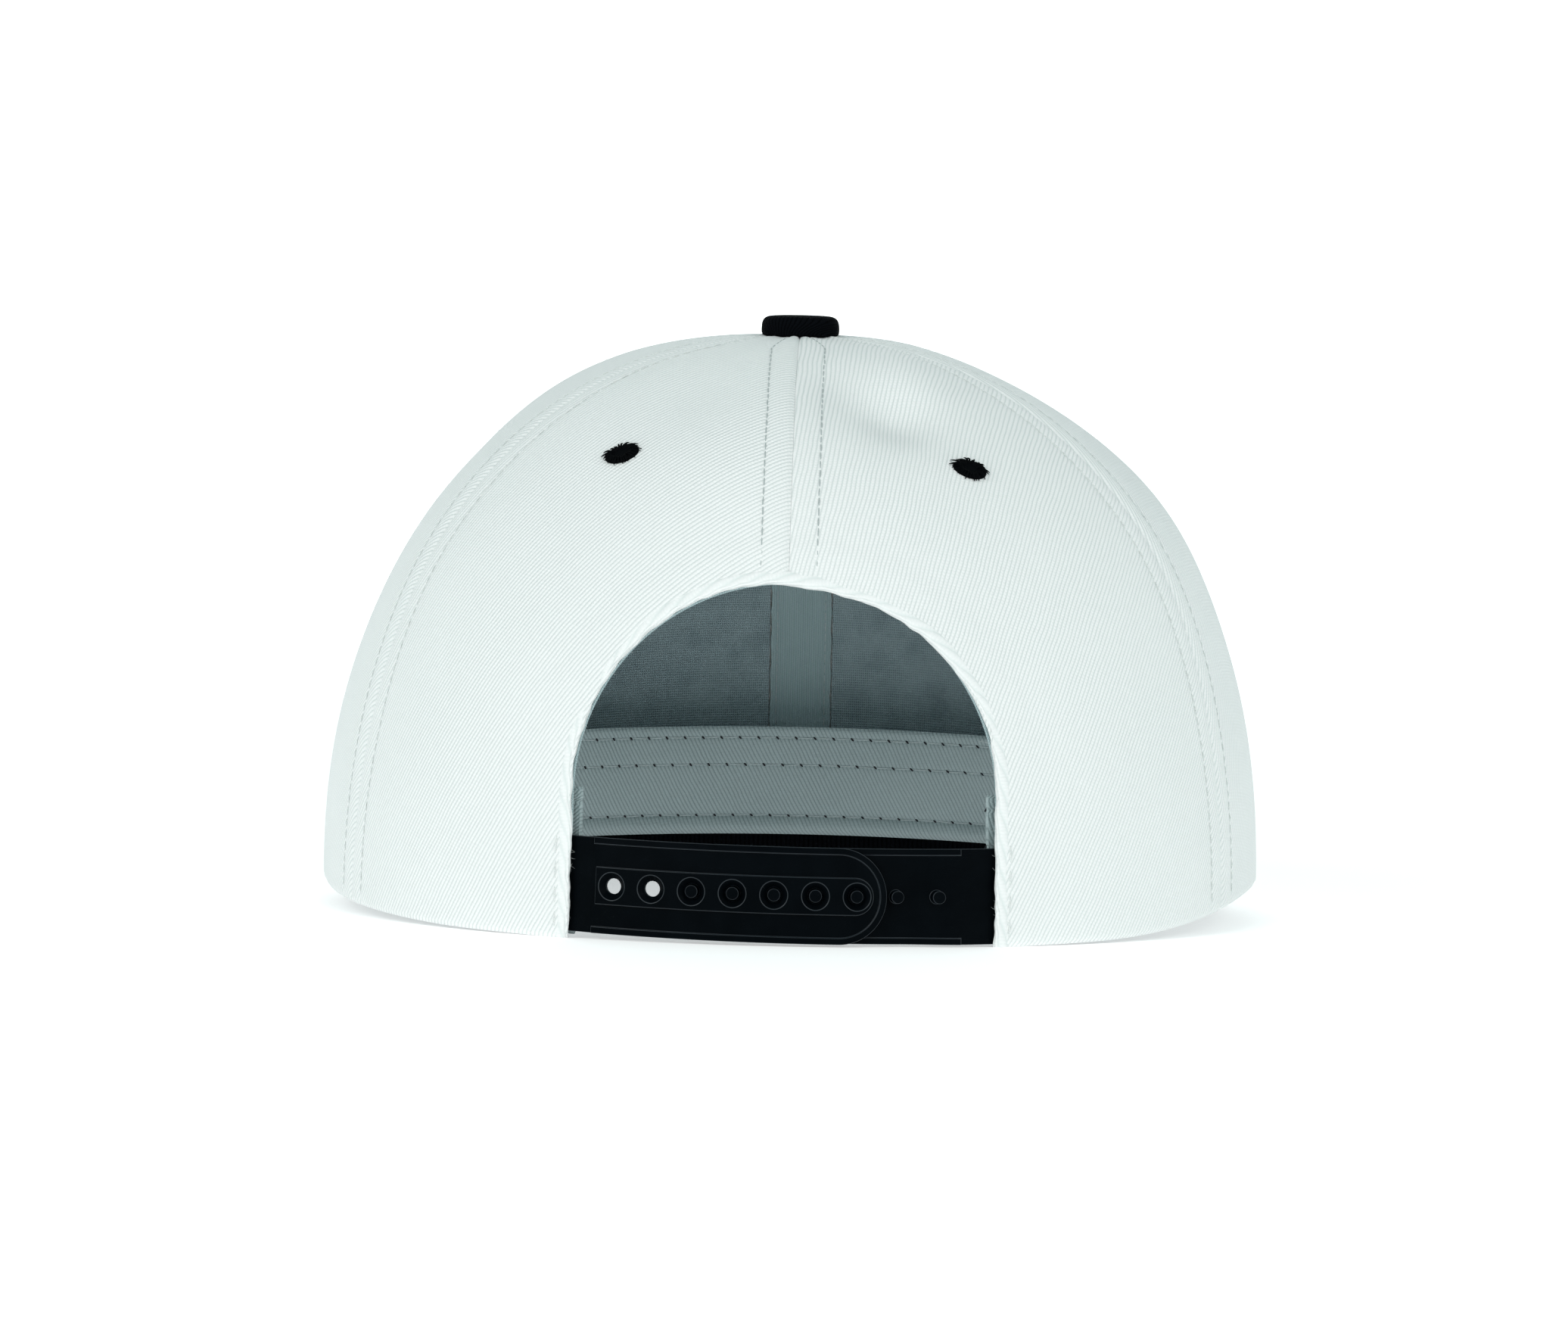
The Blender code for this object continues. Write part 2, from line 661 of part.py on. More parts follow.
def stand_up(parts, cutters):
    """Tilt the cap until its back rim and the peak's edge stand on one plane, centred over the origin."""
    pieces = list(parts.objects)
    tools = list(cutters.objects)
    peak = [piece for piece in pieces if piece.name == "peak"]
    crown = [piece for piece in pieces if piece.name.startswith("panel")]
    peak_points = world_points(peak)
    crown_points = world_points(crown)
    slope = 0.0
    for _ in range(6):
        heel = min(crown_points, key=lambda point: point.z - slope * point.y)
        front = [point for point in peak_points if point.y > RIM_LENGTH / 2]
        slope = min((point.z - heel.z) / (point.y - heel.y) for point in front)
    stand = bpy.data.objects.new("stand", None)
    parts.objects.link(stand)
    for piece in pieces + tools:
        piece.parent = stand
    stand.rotation_euler = (-math.atan(slope), 0.0, 0.0)
    points = world_points(pieces)
    low = [min(point[axis] for point in points) for axis in range(3)]
    high = [max(point[axis] for point in points) for axis in range(3)]
    stand.location = (-(low[0] + high[0]) / 2, -(low[1] + high[1]) / 2, -low[2])
    bpy.context.view_layer.update()


def main():
    clear_scene()
    parts = new_collection("snapback_cap")
    cutters = new_collection("cutters")
    make_crown(parts, cutters)
    make_facing(parts, cutters)
    make_peak(parts)
    make_sweatband(parts)
    make_button(parts)
    make_left_strap(parts, cutters)
    make_right_strap(parts, cutters)
    stand_up(parts, cutters)


main()
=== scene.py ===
import json
import math

import bmesh
import bpy
import numpy as np
from mathutils import Matrix, Vector


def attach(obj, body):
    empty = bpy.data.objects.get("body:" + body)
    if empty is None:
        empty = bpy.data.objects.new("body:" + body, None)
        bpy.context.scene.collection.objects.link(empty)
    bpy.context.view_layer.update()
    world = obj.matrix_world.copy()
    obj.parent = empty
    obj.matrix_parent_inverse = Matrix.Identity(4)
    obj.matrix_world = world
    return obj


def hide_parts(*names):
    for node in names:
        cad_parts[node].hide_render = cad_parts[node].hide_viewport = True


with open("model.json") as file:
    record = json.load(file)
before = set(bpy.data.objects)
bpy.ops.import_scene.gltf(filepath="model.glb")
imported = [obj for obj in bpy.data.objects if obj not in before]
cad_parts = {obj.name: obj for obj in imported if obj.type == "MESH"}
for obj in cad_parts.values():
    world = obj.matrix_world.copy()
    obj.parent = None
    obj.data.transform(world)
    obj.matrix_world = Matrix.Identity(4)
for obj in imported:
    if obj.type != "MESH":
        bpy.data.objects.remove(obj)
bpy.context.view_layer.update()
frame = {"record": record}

# The cap is modelled in its own frame: the plane of the rim at z = 0, the back at -Y, the peak at +Y.
# Lengths are in metres and angles in degrees. An angle runs round the cap from the back seam, and a rise
# runs up the crown, from 0 at the rim to 90 at the button.
MM = 0.001
GAP = 0.3 * MM

# Crown
RIM_WIDTH = 0.196
RIM_LENGTH = 0.184
CROWN_HEIGHT = 0.1145
WALL = 1.2 * MM
ROUNDNESS_BACK = 2.15
ROUNDNESS_SIDE = 2.27
ROUNDNESS_FRONT = 2.75
RIDGE_SHARE = 0.018
RIDGE_SCALE = 2.6  # brings the ridge's greatest height to 1
FRONT_ARCH = 0.7 * MM
REAR_DROP = 2.6 * MM
REAR_DROP_FULL = 40.0
REAR_DROP_NONE = 85.0
SEAM_ANGLES = (0.0, 65.0, 122.5, 180.0)
SIDES = (("left", -1.0), ("right", 1.0))
SHANK_DIAMETER = 4.0 * MM
# columns: angle, spread of the angle, rise as a share of the crown's height
RIM_WAVES = (
    (78.0, 20.0, 0.020),
    (-74.0, 20.0, -0.007),
)
# columns: angle, rise, spread of the angle, spread of the rise, depth as a share of the crown's height
DENTS = (
    (10.0, 68.0, 9.0, 6.0, -0.014),
    (24.0, 61.0, 11.0, 5.5, -0.034),
    (36.0, 72.0, 16.0, 7.0, 0.014),
    (-26.0, 64.0, 15.0, 9.0, -0.012),
    (-135.0, 63.0, 36.0, 13.0, 0.014),
    (130.0, 63.0, 32.0, 11.0, -0.018),
    (95.0, 39.0, 30.0, 12.0, 0.015),
)

# Opening
OPENING_RADIUS = 42.0 * MM
OPENING_CENTRE = 26.0 * MM
FACING_WIDTH = 8.0 * MM
FACING_THICKNESS = 0.8 * MM

# Peak
PEAK_WIDTH = 0.177
PEAK_REACH = 0.069
PEAK_THICKNESS = 3.0 * MM
PEAK_DROP = 8.5 * MM
PEAK_SAG = 3.5 * MM
PEAK_TUCK = 0.9 * MM
PEAK_HALF_ANGLE = 62.0
PEAK_ROUNDNESS = 2.3
PEAK_ROWS = 8
PEAK_ROW_PITCH = 6.4 * MM
PEAK_EDGE_ROW = 2.6 * MM  # from the edge to the first stitch row
PEAK_GROOVE = 0.3 * MM
PEAK_EDGE_SHARES = (0.978, 0.985, 0.990, 0.994, 0.997, 0.999, 1.0)
PEAK_STITCH_PITCH = 3.0 * MM
PEAK_STITCH_LENGTH = 2.4 * MM
PEAK_THREAD_RADIUS = 0.2 * MM
PEAK_SEAM_SWELL = 1.9 * MM  # how much thicker the peak is at its seam

# Sweatband
SWEATBAND_WIDTH = 29.0 * MM
SWEATBAND_THICKNESS = 1.0 * MM
SWEATBAND_FOOT = 0.5 * MM
SWEATBAND_SAG = 1.6 * MM
SWEATBAND_LEAN_FRONT = 28.0
SWEATBAND_LEAN_BACK = 5.0
SWEATBAND_ROWS = (0.90, 0.65, 0.174)  # stitch rows, as shares of the band's width from its foot
SWEATBAND_STITCH = 4.2 * MM
SWEATBAND_STITCH_LENGTH = 0.93 * SWEATBAND_STITCH
SWEATBAND_THREAD_RADIUS = 0.15 * MM

# Tapes and stiffener
TAPE_WIDTH = 13.0 * MM
TAPE_THICKNESS = 0.8 * MM
TAPE_POINT_SHARE = 0.40
TAPE_FOOT_RISE = 4.0
BUCKRAM_THICKNESS = 0.7 * MM
BUCKRAM_FOOT_RISE = 1.5
BUCKRAM_TOP_REACH = 0.27

# Button and eyelets
BUTTON_DIAMETER = 16.3 * MM
BUTTON_HEIGHT = 4.3 * MM
EYELET_DIAMETER = 8.2 * MM
EYELET_SQUASH = 0.68  # its height for its width, from the pull of the threads
EYELET_REACH = 0.67
# share of the way from one seam of a panel to the next, how much nearer the button than the rest,
# tilt, and how full the threads stand
EYELET_PLACES = {
    "back_left": (0.53, 0.034, 20.0, 1.0),
    "back_right": (0.525, 0.015, -16.0, 1.0),
    "side_left": (0.80, -0.01, 0.0, 0.28),
    "side_right": (0.80, -0.01, 0.0, 0.28),
    "front_left": (0.5, 0.0, 0.0, 0.7),
    "front_right": (0.5, 0.0, 0.0, 0.7),
}

# Snap strap
STRAP_HEIGHT = 19.0 * MM
STRAP_THICKNESS = 1.3 * MM
STRAP_FOOT = 0.9 * MM
STRAP_SLOPE = 0.010
STRAP_TAB = 8.0 * MM
STRAP_OVERLAP_END = 21.0 * MM
INNER_STRAP_END = 23.0 * MM
BEND_START = 24.0 * MM
BEND_END = 38.0 * MM
SNAP_COUNT = 7
SNAP_PITCH = 8.25 * MM
FIRST_SNAP = 15.0 * MM
SPARE_SNAPS = 2
PEG_DIAMETER = 2.7 * MM
HOLE_DIAMETER = 3.1 * MM
COUNTERSINK_DIAMETER = 5.4 * MM
BAND_HEIGHT = 7.3 * MM
BAND_RELIEF = 0.5 * MM
BAND_START = 38.0 * MM
BAND_MARGIN = 2.7 * MM
RIDGE_WIDTH = 1.3 * MM
RIDGE_RELIEF = 0.35 * MM
RIDGE_START = 38.8 * MM
STRAP_BEVEL = 0.11 * MM

# Sewing
SEAM_ROW = 5.2 * MM  # from a seam to its topstitch row
SEAM_GAP = 0.04 * MM
STITCH_PITCH = 2.4 * MM
LINT_COUNT = 90
STITCH_LENGTH = 1.9 * MM
THREAD_RADIUS = 0.12 * MM

INSIDE_DEPTH = WALL + GAP
STRAP_BEHIND = INSIDE_DEPTH + STRAP_THICKNESS + GAP

# The cap stands on its back rim and its peak. The record's head opening gives its place and tilt.
HEAD = next(mount for mount in frame["record"]["mounts"] if mount["name"] == "head_opening")
TILT = math.atan2(HEAD["axis"][1], -HEAD["axis"][2])
STAND = Matrix.Translation(HEAD["pos_m"]) @ Matrix.Rotation(TILT, 4, "X")


# Crown surface

def blend(value, start, end):
    """0 before start and 1 after end, smooth between."""
    share = np.clip((np.asarray(value, float) - start) / (end - start), 0.0, 1.0)
    return share * share * (3 - 2 * share)


def bell(value, centre, spread):
    """1 at the centre and falling smoothly to 0 over a few spreads."""
    return np.exp(-(((value - centre) / spread) ** 2))


def turned_past(angle, centre):
    """How far an angle lies past another, from -180 to 180."""
    return (np.asarray(angle, float) - centre + 180.0) % 360.0 - 180.0


def from_back(angle):
    return np.abs(turned_past(angle, 0.0))


def rim_lift(angle):
    front = FRONT_ARCH * np.maximum(0.0, -np.cos(np.radians(angle))) ** 2
    rear = REAR_DROP * (1 - blend(from_back(angle), REAR_DROP_FULL, REAR_DROP_NONE))
    waves = 0.0
    for wave_angle, spread, share in RIM_WAVES:
        waves = waves + share * CROWN_HEIGHT * bell(turned_past(angle, wave_angle), 0.0, spread)
    return front - rear + waves


def outline_power(angle):
    turn = np.radians(angle)
    middle = (ROUNDNESS_BACK + ROUNDNESS_FRONT) / 2
    lean = (ROUNDNESS_FRONT - ROUNDNESS_BACK) / 2
    return 2 / (ROUNDNESS_SIDE - lean * np.cos(turn) + (middle - ROUNDNESS_SIDE) * np.cos(turn) ** 2)


def seam_share(angle):
    turn = from_back(angle)
    share = np.ones_like(turn)
    for start, end in reversed(list(zip(SEAM_ANGLES, SEAM_ANGLES[1:]))):
        share = np.where(turn <= end, (2 * turn - start - end) / (end - start), share)
    return share


def dent_depth(angle, rise):
    depth = 0.0
    for dent_angle, dent_rise, angle_spread, rise_spread, share in DENTS:
        around = bell(turned_past(angle, dent_angle), 0.0, angle_spread)
        depth = depth + share * CROWN_HEIGHT * around * bell(rise, dent_rise, rise_spread)
    return depth


def crown(angle, rise):
    """Points of the crown's outer face, before any sewing relief."""
    angle, rise = np.broadcast_arrays(np.asarray(angle, float), np.asarray(rise, float))
    turn = np.radians(angle)
    up = np.radians(np.clip(rise, 0.0, 90.0))
    power = outline_power(angle)
    ridge = -np.cos(np.pi * seam_share(angle)) * RIDGE_SCALE * np.sin(up) ** 2 * np.cos(up)
    reach = np.maximum(np.cos(up), 0.0) ** power * (1 + RIDGE_SHARE * ridge)
    lift = rim_lift(angle)
    place = np.stack([
        RIM_WIDTH / 2 * np.sin(turn) * reach,
        -RIM_LENGTH / 2 * np.cos(turn) * reach,
        lift + (CROWN_HEIGHT - lift) * np.sin(up) ** power,
    ], axis=-1)
    outward = unit(place / np.array([RIM_WIDTH**2, RIM_LENGTH**2, (2 * CROWN_HEIGHT) ** 2]))
    return place + outward * dent_depth(angle, rise)[..., None]


def unit(vectors):
    return vectors / np.maximum(np.linalg.norm(vectors, axis=-1, keepdims=True), 1e-12)


def crown_normal(angle, rise):
    step = 0.05
    around = crown(angle + step, rise) - crown(angle - step, rise)
    upward = crown(angle, np.minimum(rise + step, 90.0)) - crown(angle, np.maximum(rise - step, 0.0))
    return unit(np.cross(around, upward))


def crown_at(angle, rise, depth):
    """Points at a depth inside the crown's outer face. A negative depth stands out of it."""
    angle, rise, depth = np.broadcast_arrays(
        np.asarray(angle, float), np.asarray(rise, float), np.asarray(depth, float)
    )
    return crown(angle, rise) - crown_normal(angle, rise) * depth[..., None]


def rise_at_reach(angle, reach):
    return np.degrees(np.arccos(reach ** (1 / outline_power(angle))))


def rise_at_height(angle, height):
    lift = rim_lift(angle)
    share = np.clip((height - lift) / (CROWN_HEIGHT - lift), 0.0, 1.0)
    return np.degrees(np.arcsin(share ** (1 / outline_power(angle))))


def top_rise(angle):
    turn = np.radians(angle)
    radius = np.hypot(RIM_WIDTH / 2 * np.sin(turn), RIM_LENGTH / 2 * np.cos(turn))
    return rise_at_reach(angle, (SHANK_DIAMETER / 2 + 3 * GAP) / radius)


def axis_distance(angle, rise):
    place = crown(angle, rise)
    return np.hypot(place[..., 0], place[..., 1])


def beside_seam(seam, rise, distance):
    """The angle a distance beside a seam, at a rise."""
    share = np.clip(distance / axis_distance(seam, rise), -1.0, 1.0)
    return seam + np.degrees(np.arcsin(share))


def rim_angle(length):
    """The angle at a length along the rim from the back seam."""
    steps = 24
    angle = np.zeros_like(np.asarray(length, float))
    for _ in range(steps):
        turn = np.radians(angle)
        speed = np.hypot(RIM_WIDTH / 2 * np.cos(turn), RIM_LENGTH / 2 * np.sin(turn))
        angle = angle + np.degrees(length / steps / speed)
    return angle


# Mesh tools

def add_piece(name, mesh, material, nodes=()):
    """Stands a mesh made in the cap's own frame in the scene."""
    mesh.transform(STAND)
    piece = bpy.data.objects.new(name, mesh)
    bpy.context.scene.collection.objects.link(piece)
    mesh.materials.clear()
    mesh.materials.append(material)
    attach(piece, "root")
    if nodes:
        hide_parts(*nodes)
    return piece


def new_mesh(name, points, faces, flat=None, smooth_angle=45.0):
    """A mesh of points and faces. flat gives each point its place on the flat cloth, in metres."""
    mesh = bpy.data.meshes.new(name)
    mesh.from_pydata(np.asarray(points).reshape(-1, 3).tolist(), [], [list(face) for face in faces])
    if flat is not None:
        layer = mesh.uv_layers.new(name="cloth")
        corners = np.empty(len(mesh.loops), dtype=np.int32)
        mesh.loops.foreach_get("vertex_index", corners)
        layer.data.foreach_set("uv", np.asarray(flat, dtype=np.float32).reshape(-1, 2)[corners].ravel())
    mesh.shade_smooth()
    mesh.set_sharp_from_angle(angle=math.radians(smooth_angle))
    return mesh


def grid_faces(rows, columns, first=0, flip=False):
    index = np.arange(rows * columns).reshape(rows, columns) + first
    quads = np.stack([index[:-1, :-1], index[:-1, 1:], index[1:, 1:], index[1:, :-1]], axis=-1).reshape(-1, 4)
    return quads[:, ::-1] if flip else quads


def strip_faces(near, far):
    """Quads between two rows of point indices."""
    return np.stack([near[1:], near[:-1], far[:-1], far[1:]], axis=-1)


def sheet_mesh(name, outer, inner, flat, smooth_angle=60.0):
    """A closed wall between two grids of points, rows by columns, seen from outside."""
    rows, columns = outer.shape[:2]
    count = rows * columns
    top = np.arange(count).reshape(rows, columns)
    low = top + count
    faces = np.concatenate([
        grid_faces(rows, columns),
        grid_faces(rows, columns, count, True),
        strip_faces(top[0], low[0]),
        strip_faces(top[-1, ::-1], low[-1, ::-1]),
        strip_faces(top[::-1, 0], low[::-1, 0]),
        strip_faces(top[:, -1], low[:, -1]),
    ])
    points = np.concatenate([outer.reshape(-1, 3), inner.reshape(-1, 3)])
    mesh = new_mesh(name, points, faces, np.concatenate([flat.reshape(-1, 2)] * 2), smooth_angle)
    fix_outward(mesh)
    return mesh


def flat_cloth(grid):
    """Places of a grid's points on the flat cloth: lengths along its rows and up its middle column."""
    across = np.zeros(grid.shape[:2])
    across[:, 1:] = np.cumsum(np.linalg.norm(np.diff(grid, axis=1), axis=-1), axis=1)
    middle = grid.shape[1] // 2
    across -= across[:, middle:middle + 1]
    upward = lengths_along(grid[:, middle])
    return np.stack([across, np.repeat(upward[:, None], grid.shape[1], axis=1)], axis=-1)


def panel_cloth(grid, angle, centre):
    """Places on a panel's flat cloth, whose threads keep their direction to the panel's centre line."""
    middle = grid.shape[1] // 2
    upward = lengths_along(grid[:, middle])
    radius = 2 * (upward[-1] + SHANK_DIAMETER / 2) / math.pi
    elevation = (upward / radius)[:, None]
    turn = np.radians(angle - centre)
    along = radius * np.arctan2(np.sin(elevation), np.cos(elevation) * np.cos(turn))
    across = radius * np.arcsin(np.cos(elevation) * np.sin(turn))
    return np.stack([across, along], axis=-1)


def lengths_along(points):
    """The length from a polyline's first point to each of its points."""
    return np.concatenate([[0.0], np.cumsum(np.linalg.norm(np.diff(points, axis=0), axis=-1))])


def spots_at(places, length, values):
    """A polyline's values at lengths along it."""
    return np.stack([np.interp(places, length, column) for column in values.T], axis=-1)


LOOK_AHEAD = 0.2 * MM  # over which a polyline's direction is read


def path_points(points, pitch, first=0.5):
    """Evenly spaced points along a polyline, with the directions there."""
    length = lengths_along(points)
    places = np.arange(first * pitch, length[-1] - pitch / 2, pitch)
    ahead = spots_at(places + LOOK_AHEAD, length, points)
    behind = spots_at(places - LOOK_AHEAD, length, points)
    return spots_at(places, length, points), unit(ahead - behind), places


def tube_faces(rings, sides):
    """Faces of a closed tube whose points run round one ring after another."""
    faces = []
    for ring in range(rings - 1):
        for side in range(sides):
            near = ring * sides + side
            following = ring * sides + (side + 1) % sides
            faces.append((near, following, following + sides, near + sides))
    last = (rings - 1) * sides
    return faces + [tuple(range(sides))[::-1], tuple(range(last, last + sides))]


def tubes(points):
    """Points and faces of tubes, from an array of tubes by rings by sides."""
    count, rings, sides = points.shape[:3]
    pattern = tube_faces(rings, sides)
    size = rings * sides
    faces = [tuple(tube * size + corner for corner in face) for tube in range(count) for face in pattern]
    return points.reshape(-1, 3), faces


# columns: place along a thread, share of its full width there
THREAD_SHAPE = ((0.0, 0.45), (0.14, 0.86), (0.38, 1.0), (0.62, 1.0), (0.86, 0.86), (1.0, 0.45))
THREAD_SIDES = 6
HAIR_SIDES = 3
HAIR_RINGS = 6
HAIR_TAPER = 0.7
HAIR_SIDEWAYS = (0.3, 0.9, 0.2)
THREAD_HUMP = 0.9  # as a share of the thread's radius
STITCH_JITTER = 0.035 * MM
STITCH_TURN = 0.03


def round_ring(centre, aside, upward, radius, sides):
    """Rings of points round centres, one ring for each thread."""
    turns = np.arange(sides) * 2 * math.pi / sides
    ring = [centre + (aside * math.cos(turn) + upward * math.sin(turn)) * radius for turn in turns]
    return np.stack(ring, axis=1)


def thread_points(starts, ends, normals, radius, arch):
    """Short rounded threads from starts to ends, humped by arch along the normals."""
    along = unit(ends - starts)
    aside = unit(np.cross(normals, along))
    upward = unit(np.cross(along, aside))
    rings = []
    for step, fullness in THREAD_SHAPE:
        centre = starts + (ends - starts) * step + normals * arch * math.sin(math.pi * step)
        rings.append(round_ring(centre, aside, upward, radius * fullness, THREAD_SIDES))
    return tubes(np.stack(rings, axis=1))


def hair_points(roots, directions, lengths, curls, radius):
    """Thin curved fibres from their roots."""
    aside = unit(np.cross(directions, HAIR_SIDEWAYS))
    across = unit(np.cross(directions, aside))
    rings = []
    for step in np.linspace(0.0, 1.0, HAIR_RINGS):
        bend = aside * (curls * lengths * step * step)[:, None]
        centre = roots + directions * (lengths * step)[:, None] + bend
        rings.append(round_ring(centre, aside, across, radius * (1 - HAIR_TAPER * step), HAIR_SIDES))
    return tubes(np.stack(rings, axis=1))


def merge_parts(parts):
    """Joins (points, faces) pairs into one pair."""
    points, faces, base = [], [], 0
    for part_points, part_faces in parts:
        part_points = np.asarray(part_points).reshape(-1, 3)
        points.append(part_points)
        faces += [tuple(int(corner) + base for corner in face) for face in part_faces]
        base += len(part_points)
    return np.concatenate(points), faces


def add_parts(name, parts, material, nodes=()):
    """Adds (points, faces) pairs as one piece."""
    points, faces = merge_parts(parts)
    return add_piece(name, new_mesh(name, points, faces), material, nodes)


def stitch_row(points, normals_at, pitch=STITCH_PITCH, length=STITCH_LENGTH, radius=THREAD_RADIUS, seed=1):
    """Stitches along a polyline on cloth. normals_at(spots) gives the cloth's outward directions."""
    spots, along, places = path_points(points, pitch)
    normals = normals_at(places)
    random = np.random.default_rng(seed)
    aside = np.cross(normals, along)
    jitter = random.normal(0.0, STITCH_JITTER, (len(spots), 1))
    turn = random.normal(0.0, STITCH_TURN, (len(spots), 1))
    reach = (along + aside * turn) * (length / 2)
    middle = spots + aside * jitter
    return thread_points(middle - reach, middle + reach, normals, radius, radius * THREAD_HUMP)


def interpolated(points, values):
    """A function of length along a polyline that gives values there."""
    length = lengths_along(points)
    return lambda places: unit(spots_at(places, length, values))


# Material tools

class Nodes:
    """Builds a material's nodes with short calls."""

    def __init__(self, name, roughness, sheen=0.0, specular=0.25):
        self.material = bpy.data.materials.new(name)
        self.material.use_nodes = True
        self.tree = self.material.node_tree
        self.shader = self.tree.nodes["Principled BSDF"]
        self.shader.inputs["Roughness"].default_value = roughness
        self.shader.inputs["Sheen Weight"].default_value = sheen
        self.shader.inputs["Specular IOR Level"].default_value = specular

    def put(self, value, socket):
        if isinstance(value, bpy.types.NodeSocket):
            self.tree.links.new(value, socket)
        else:
            socket.default_value = value

    def math(self, operation, first, second=0.0, third=0.0):
        node = self.tree.nodes.new("ShaderNodeMath")
        node.operation = operation
        for value, socket in zip((first, second, third), node.inputs):
            self.put(value, socket)
        return node.outputs[0]

    def coordinates(self, kind="UV"):
        source = self.tree.nodes.new("ShaderNodeTexCoord")
        split = self.tree.nodes.new("ShaderNodeSeparateXYZ")
        self.tree.links.new(source.outputs[kind], split.inputs[0])
        return source.outputs[kind], split.outputs[0], split.outputs[1], split.outputs[2]

    def noise(self, vector, scale, detail=2.0, roughness=0.5):
        node = self.tree.nodes.new("ShaderNodeTexNoise")
        self.put(vector, node.inputs["Vector"])
        node.inputs["Scale"].default_value = scale
        node.inputs["Detail"].default_value = detail
        node.inputs["Roughness"].default_value = roughness
        return node.outputs["Fac"]

    def ramp(self, value, stops):
        node = self.tree.nodes.new("ShaderNodeValToRGB")
        self.put(value, node.inputs[0])
        elements = node.color_ramp.elements
        while len(elements) < len(stops):
            elements.new(0.5)
        for element, (place, colour) in zip(elements, stops):
            element.position = place
            element.color = (*colour, 1.0)
        return node.outputs[0]

    def turned(self, across, upward, angle, pitch):
        """Lengths along and across a direction, in pitches."""
        turn = math.radians(angle)
        first = self.math("MULTIPLY", across, math.cos(turn) / pitch)
        return self.math("MULTIPLY_ADD", upward, math.sin(turn) / pitch, first)

    def colour(self, value):
        self.put(value, self.shader.inputs["Base Color"])

    def rough(self, value):
        self.put(value, self.shader.inputs["Roughness"])

    def bump(self, height, depth, strength=1.0):
        node = self.tree.nodes.new("ShaderNodeBump")
        node.inputs["Strength"].default_value = strength
        node.inputs["Distance"].default_value = depth
        self.put(height, node.inputs["Height"])
        self.tree.links.new(node.outputs[0], self.shader.inputs["Normal"])


def twill(
    name, rib_angle, light, dark, pitch=0.9 * MM, depth=0.14 * MM, sheen=0.1, contrast=1.0, specular=0.25
):
    """Twill cloth: ribs at an angle over the flat cloth, each broken by the threads that cross it."""
    nodes = Nodes(name, 0.9, sheen, specular)
    vector, across, upward, _ = nodes.coordinates()
    wander = nodes.noise(vector, 90.0, 2.0)
    ribs = nodes.turned(across, upward, rib_angle + 90.0, pitch)
    ribs = nodes.math("MULTIPLY_ADD", wander, 0.9, ribs)
    cell = nodes.math("FLOOR", ribs)
    crossing = nodes.turned(across, upward, rib_angle, pitch * 0.8)
    crossing = nodes.math("MULTIPLY_ADD", cell, 0.37, crossing)
    rib = nodes.math("ABSOLUTE", nodes.math("SINE", nodes.math("MULTIPLY", ribs, math.pi)))
    rib = nodes.math("POWER", rib, 1.1)
    thread = nodes.math("SINE", nodes.math("MULTIPLY", crossing, 2 * math.pi))
    thread = nodes.math("MULTIPLY_ADD", thread, 0.20, 0.82)
    fibre = nodes.noise(vector, 2600.0, 3.0, 0.7)
    height = nodes.math("MULTIPLY", rib, thread)
    height = nodes.math("MULTIPLY_ADD", fibre, 0.35, height)
    # The tone follows the rib height: painted shade in the grooves and painted highlight on the rib crests,
    # under a random cloudy tone.
    tone = nodes.math("MULTIPLY_ADD", nodes.math("SUBTRACT", height, 0.55), contrast, 0.55)
    cloud = nodes.noise(vector, 35.0, 3.0)
    tone = nodes.math("MULTIPLY_ADD", nodes.math("SUBTRACT", cloud, 0.5), 0.25, tone)
    nodes.colour(nodes.ramp(tone, ((0.15, dark), (0.75, light))))
    nodes.bump(height, depth)
    return nodes.material


def thread_material(name, colour, roughness=0.75, sheen=0.15, specular=0.25):
    """Sewing thread, with a fine twist."""
    nodes = Nodes(name, roughness, sheen, specular)
    vector, _, _, _ = nodes.coordinates("Object")
    twist = nodes.noise(vector, 5200.0, 2.0)
    shade = tuple(0.72 * part for part in colour)
    nodes.colour(nodes.ramp(twist, ((0.3, shade), (0.65, colour))))
    nodes.bump(twist, 0.05 * MM, 0.6)
    return nodes.material


def buckram_material(name, light, dark):
    """Open mesh stiffener: fine rows of small square holes."""
    nodes = Nodes(name, 0.95)
    vector, across, upward, _ = nodes.coordinates()
    pitch = 0.46 * MM
    columns = nodes.math("SINE", nodes.math("MULTIPLY", across, 2 * math.pi / pitch))
    rows = nodes.math("SINE", nodes.math("MULTIPLY", upward, 2 * math.pi / (pitch * 1.2)))
    mesh_height = nodes.math("MAXIMUM", columns, rows)
    wear = nodes.noise(vector, 160.0, 4.0)
    tone = nodes.math("MULTIPLY_ADD", mesh_height, 0.3, wear)
    nodes.colour(nodes.ramp(tone, ((0.2, dark), (0.75, light))))
    nodes.bump(mesh_height, 0.08 * MM)
    return nodes.material


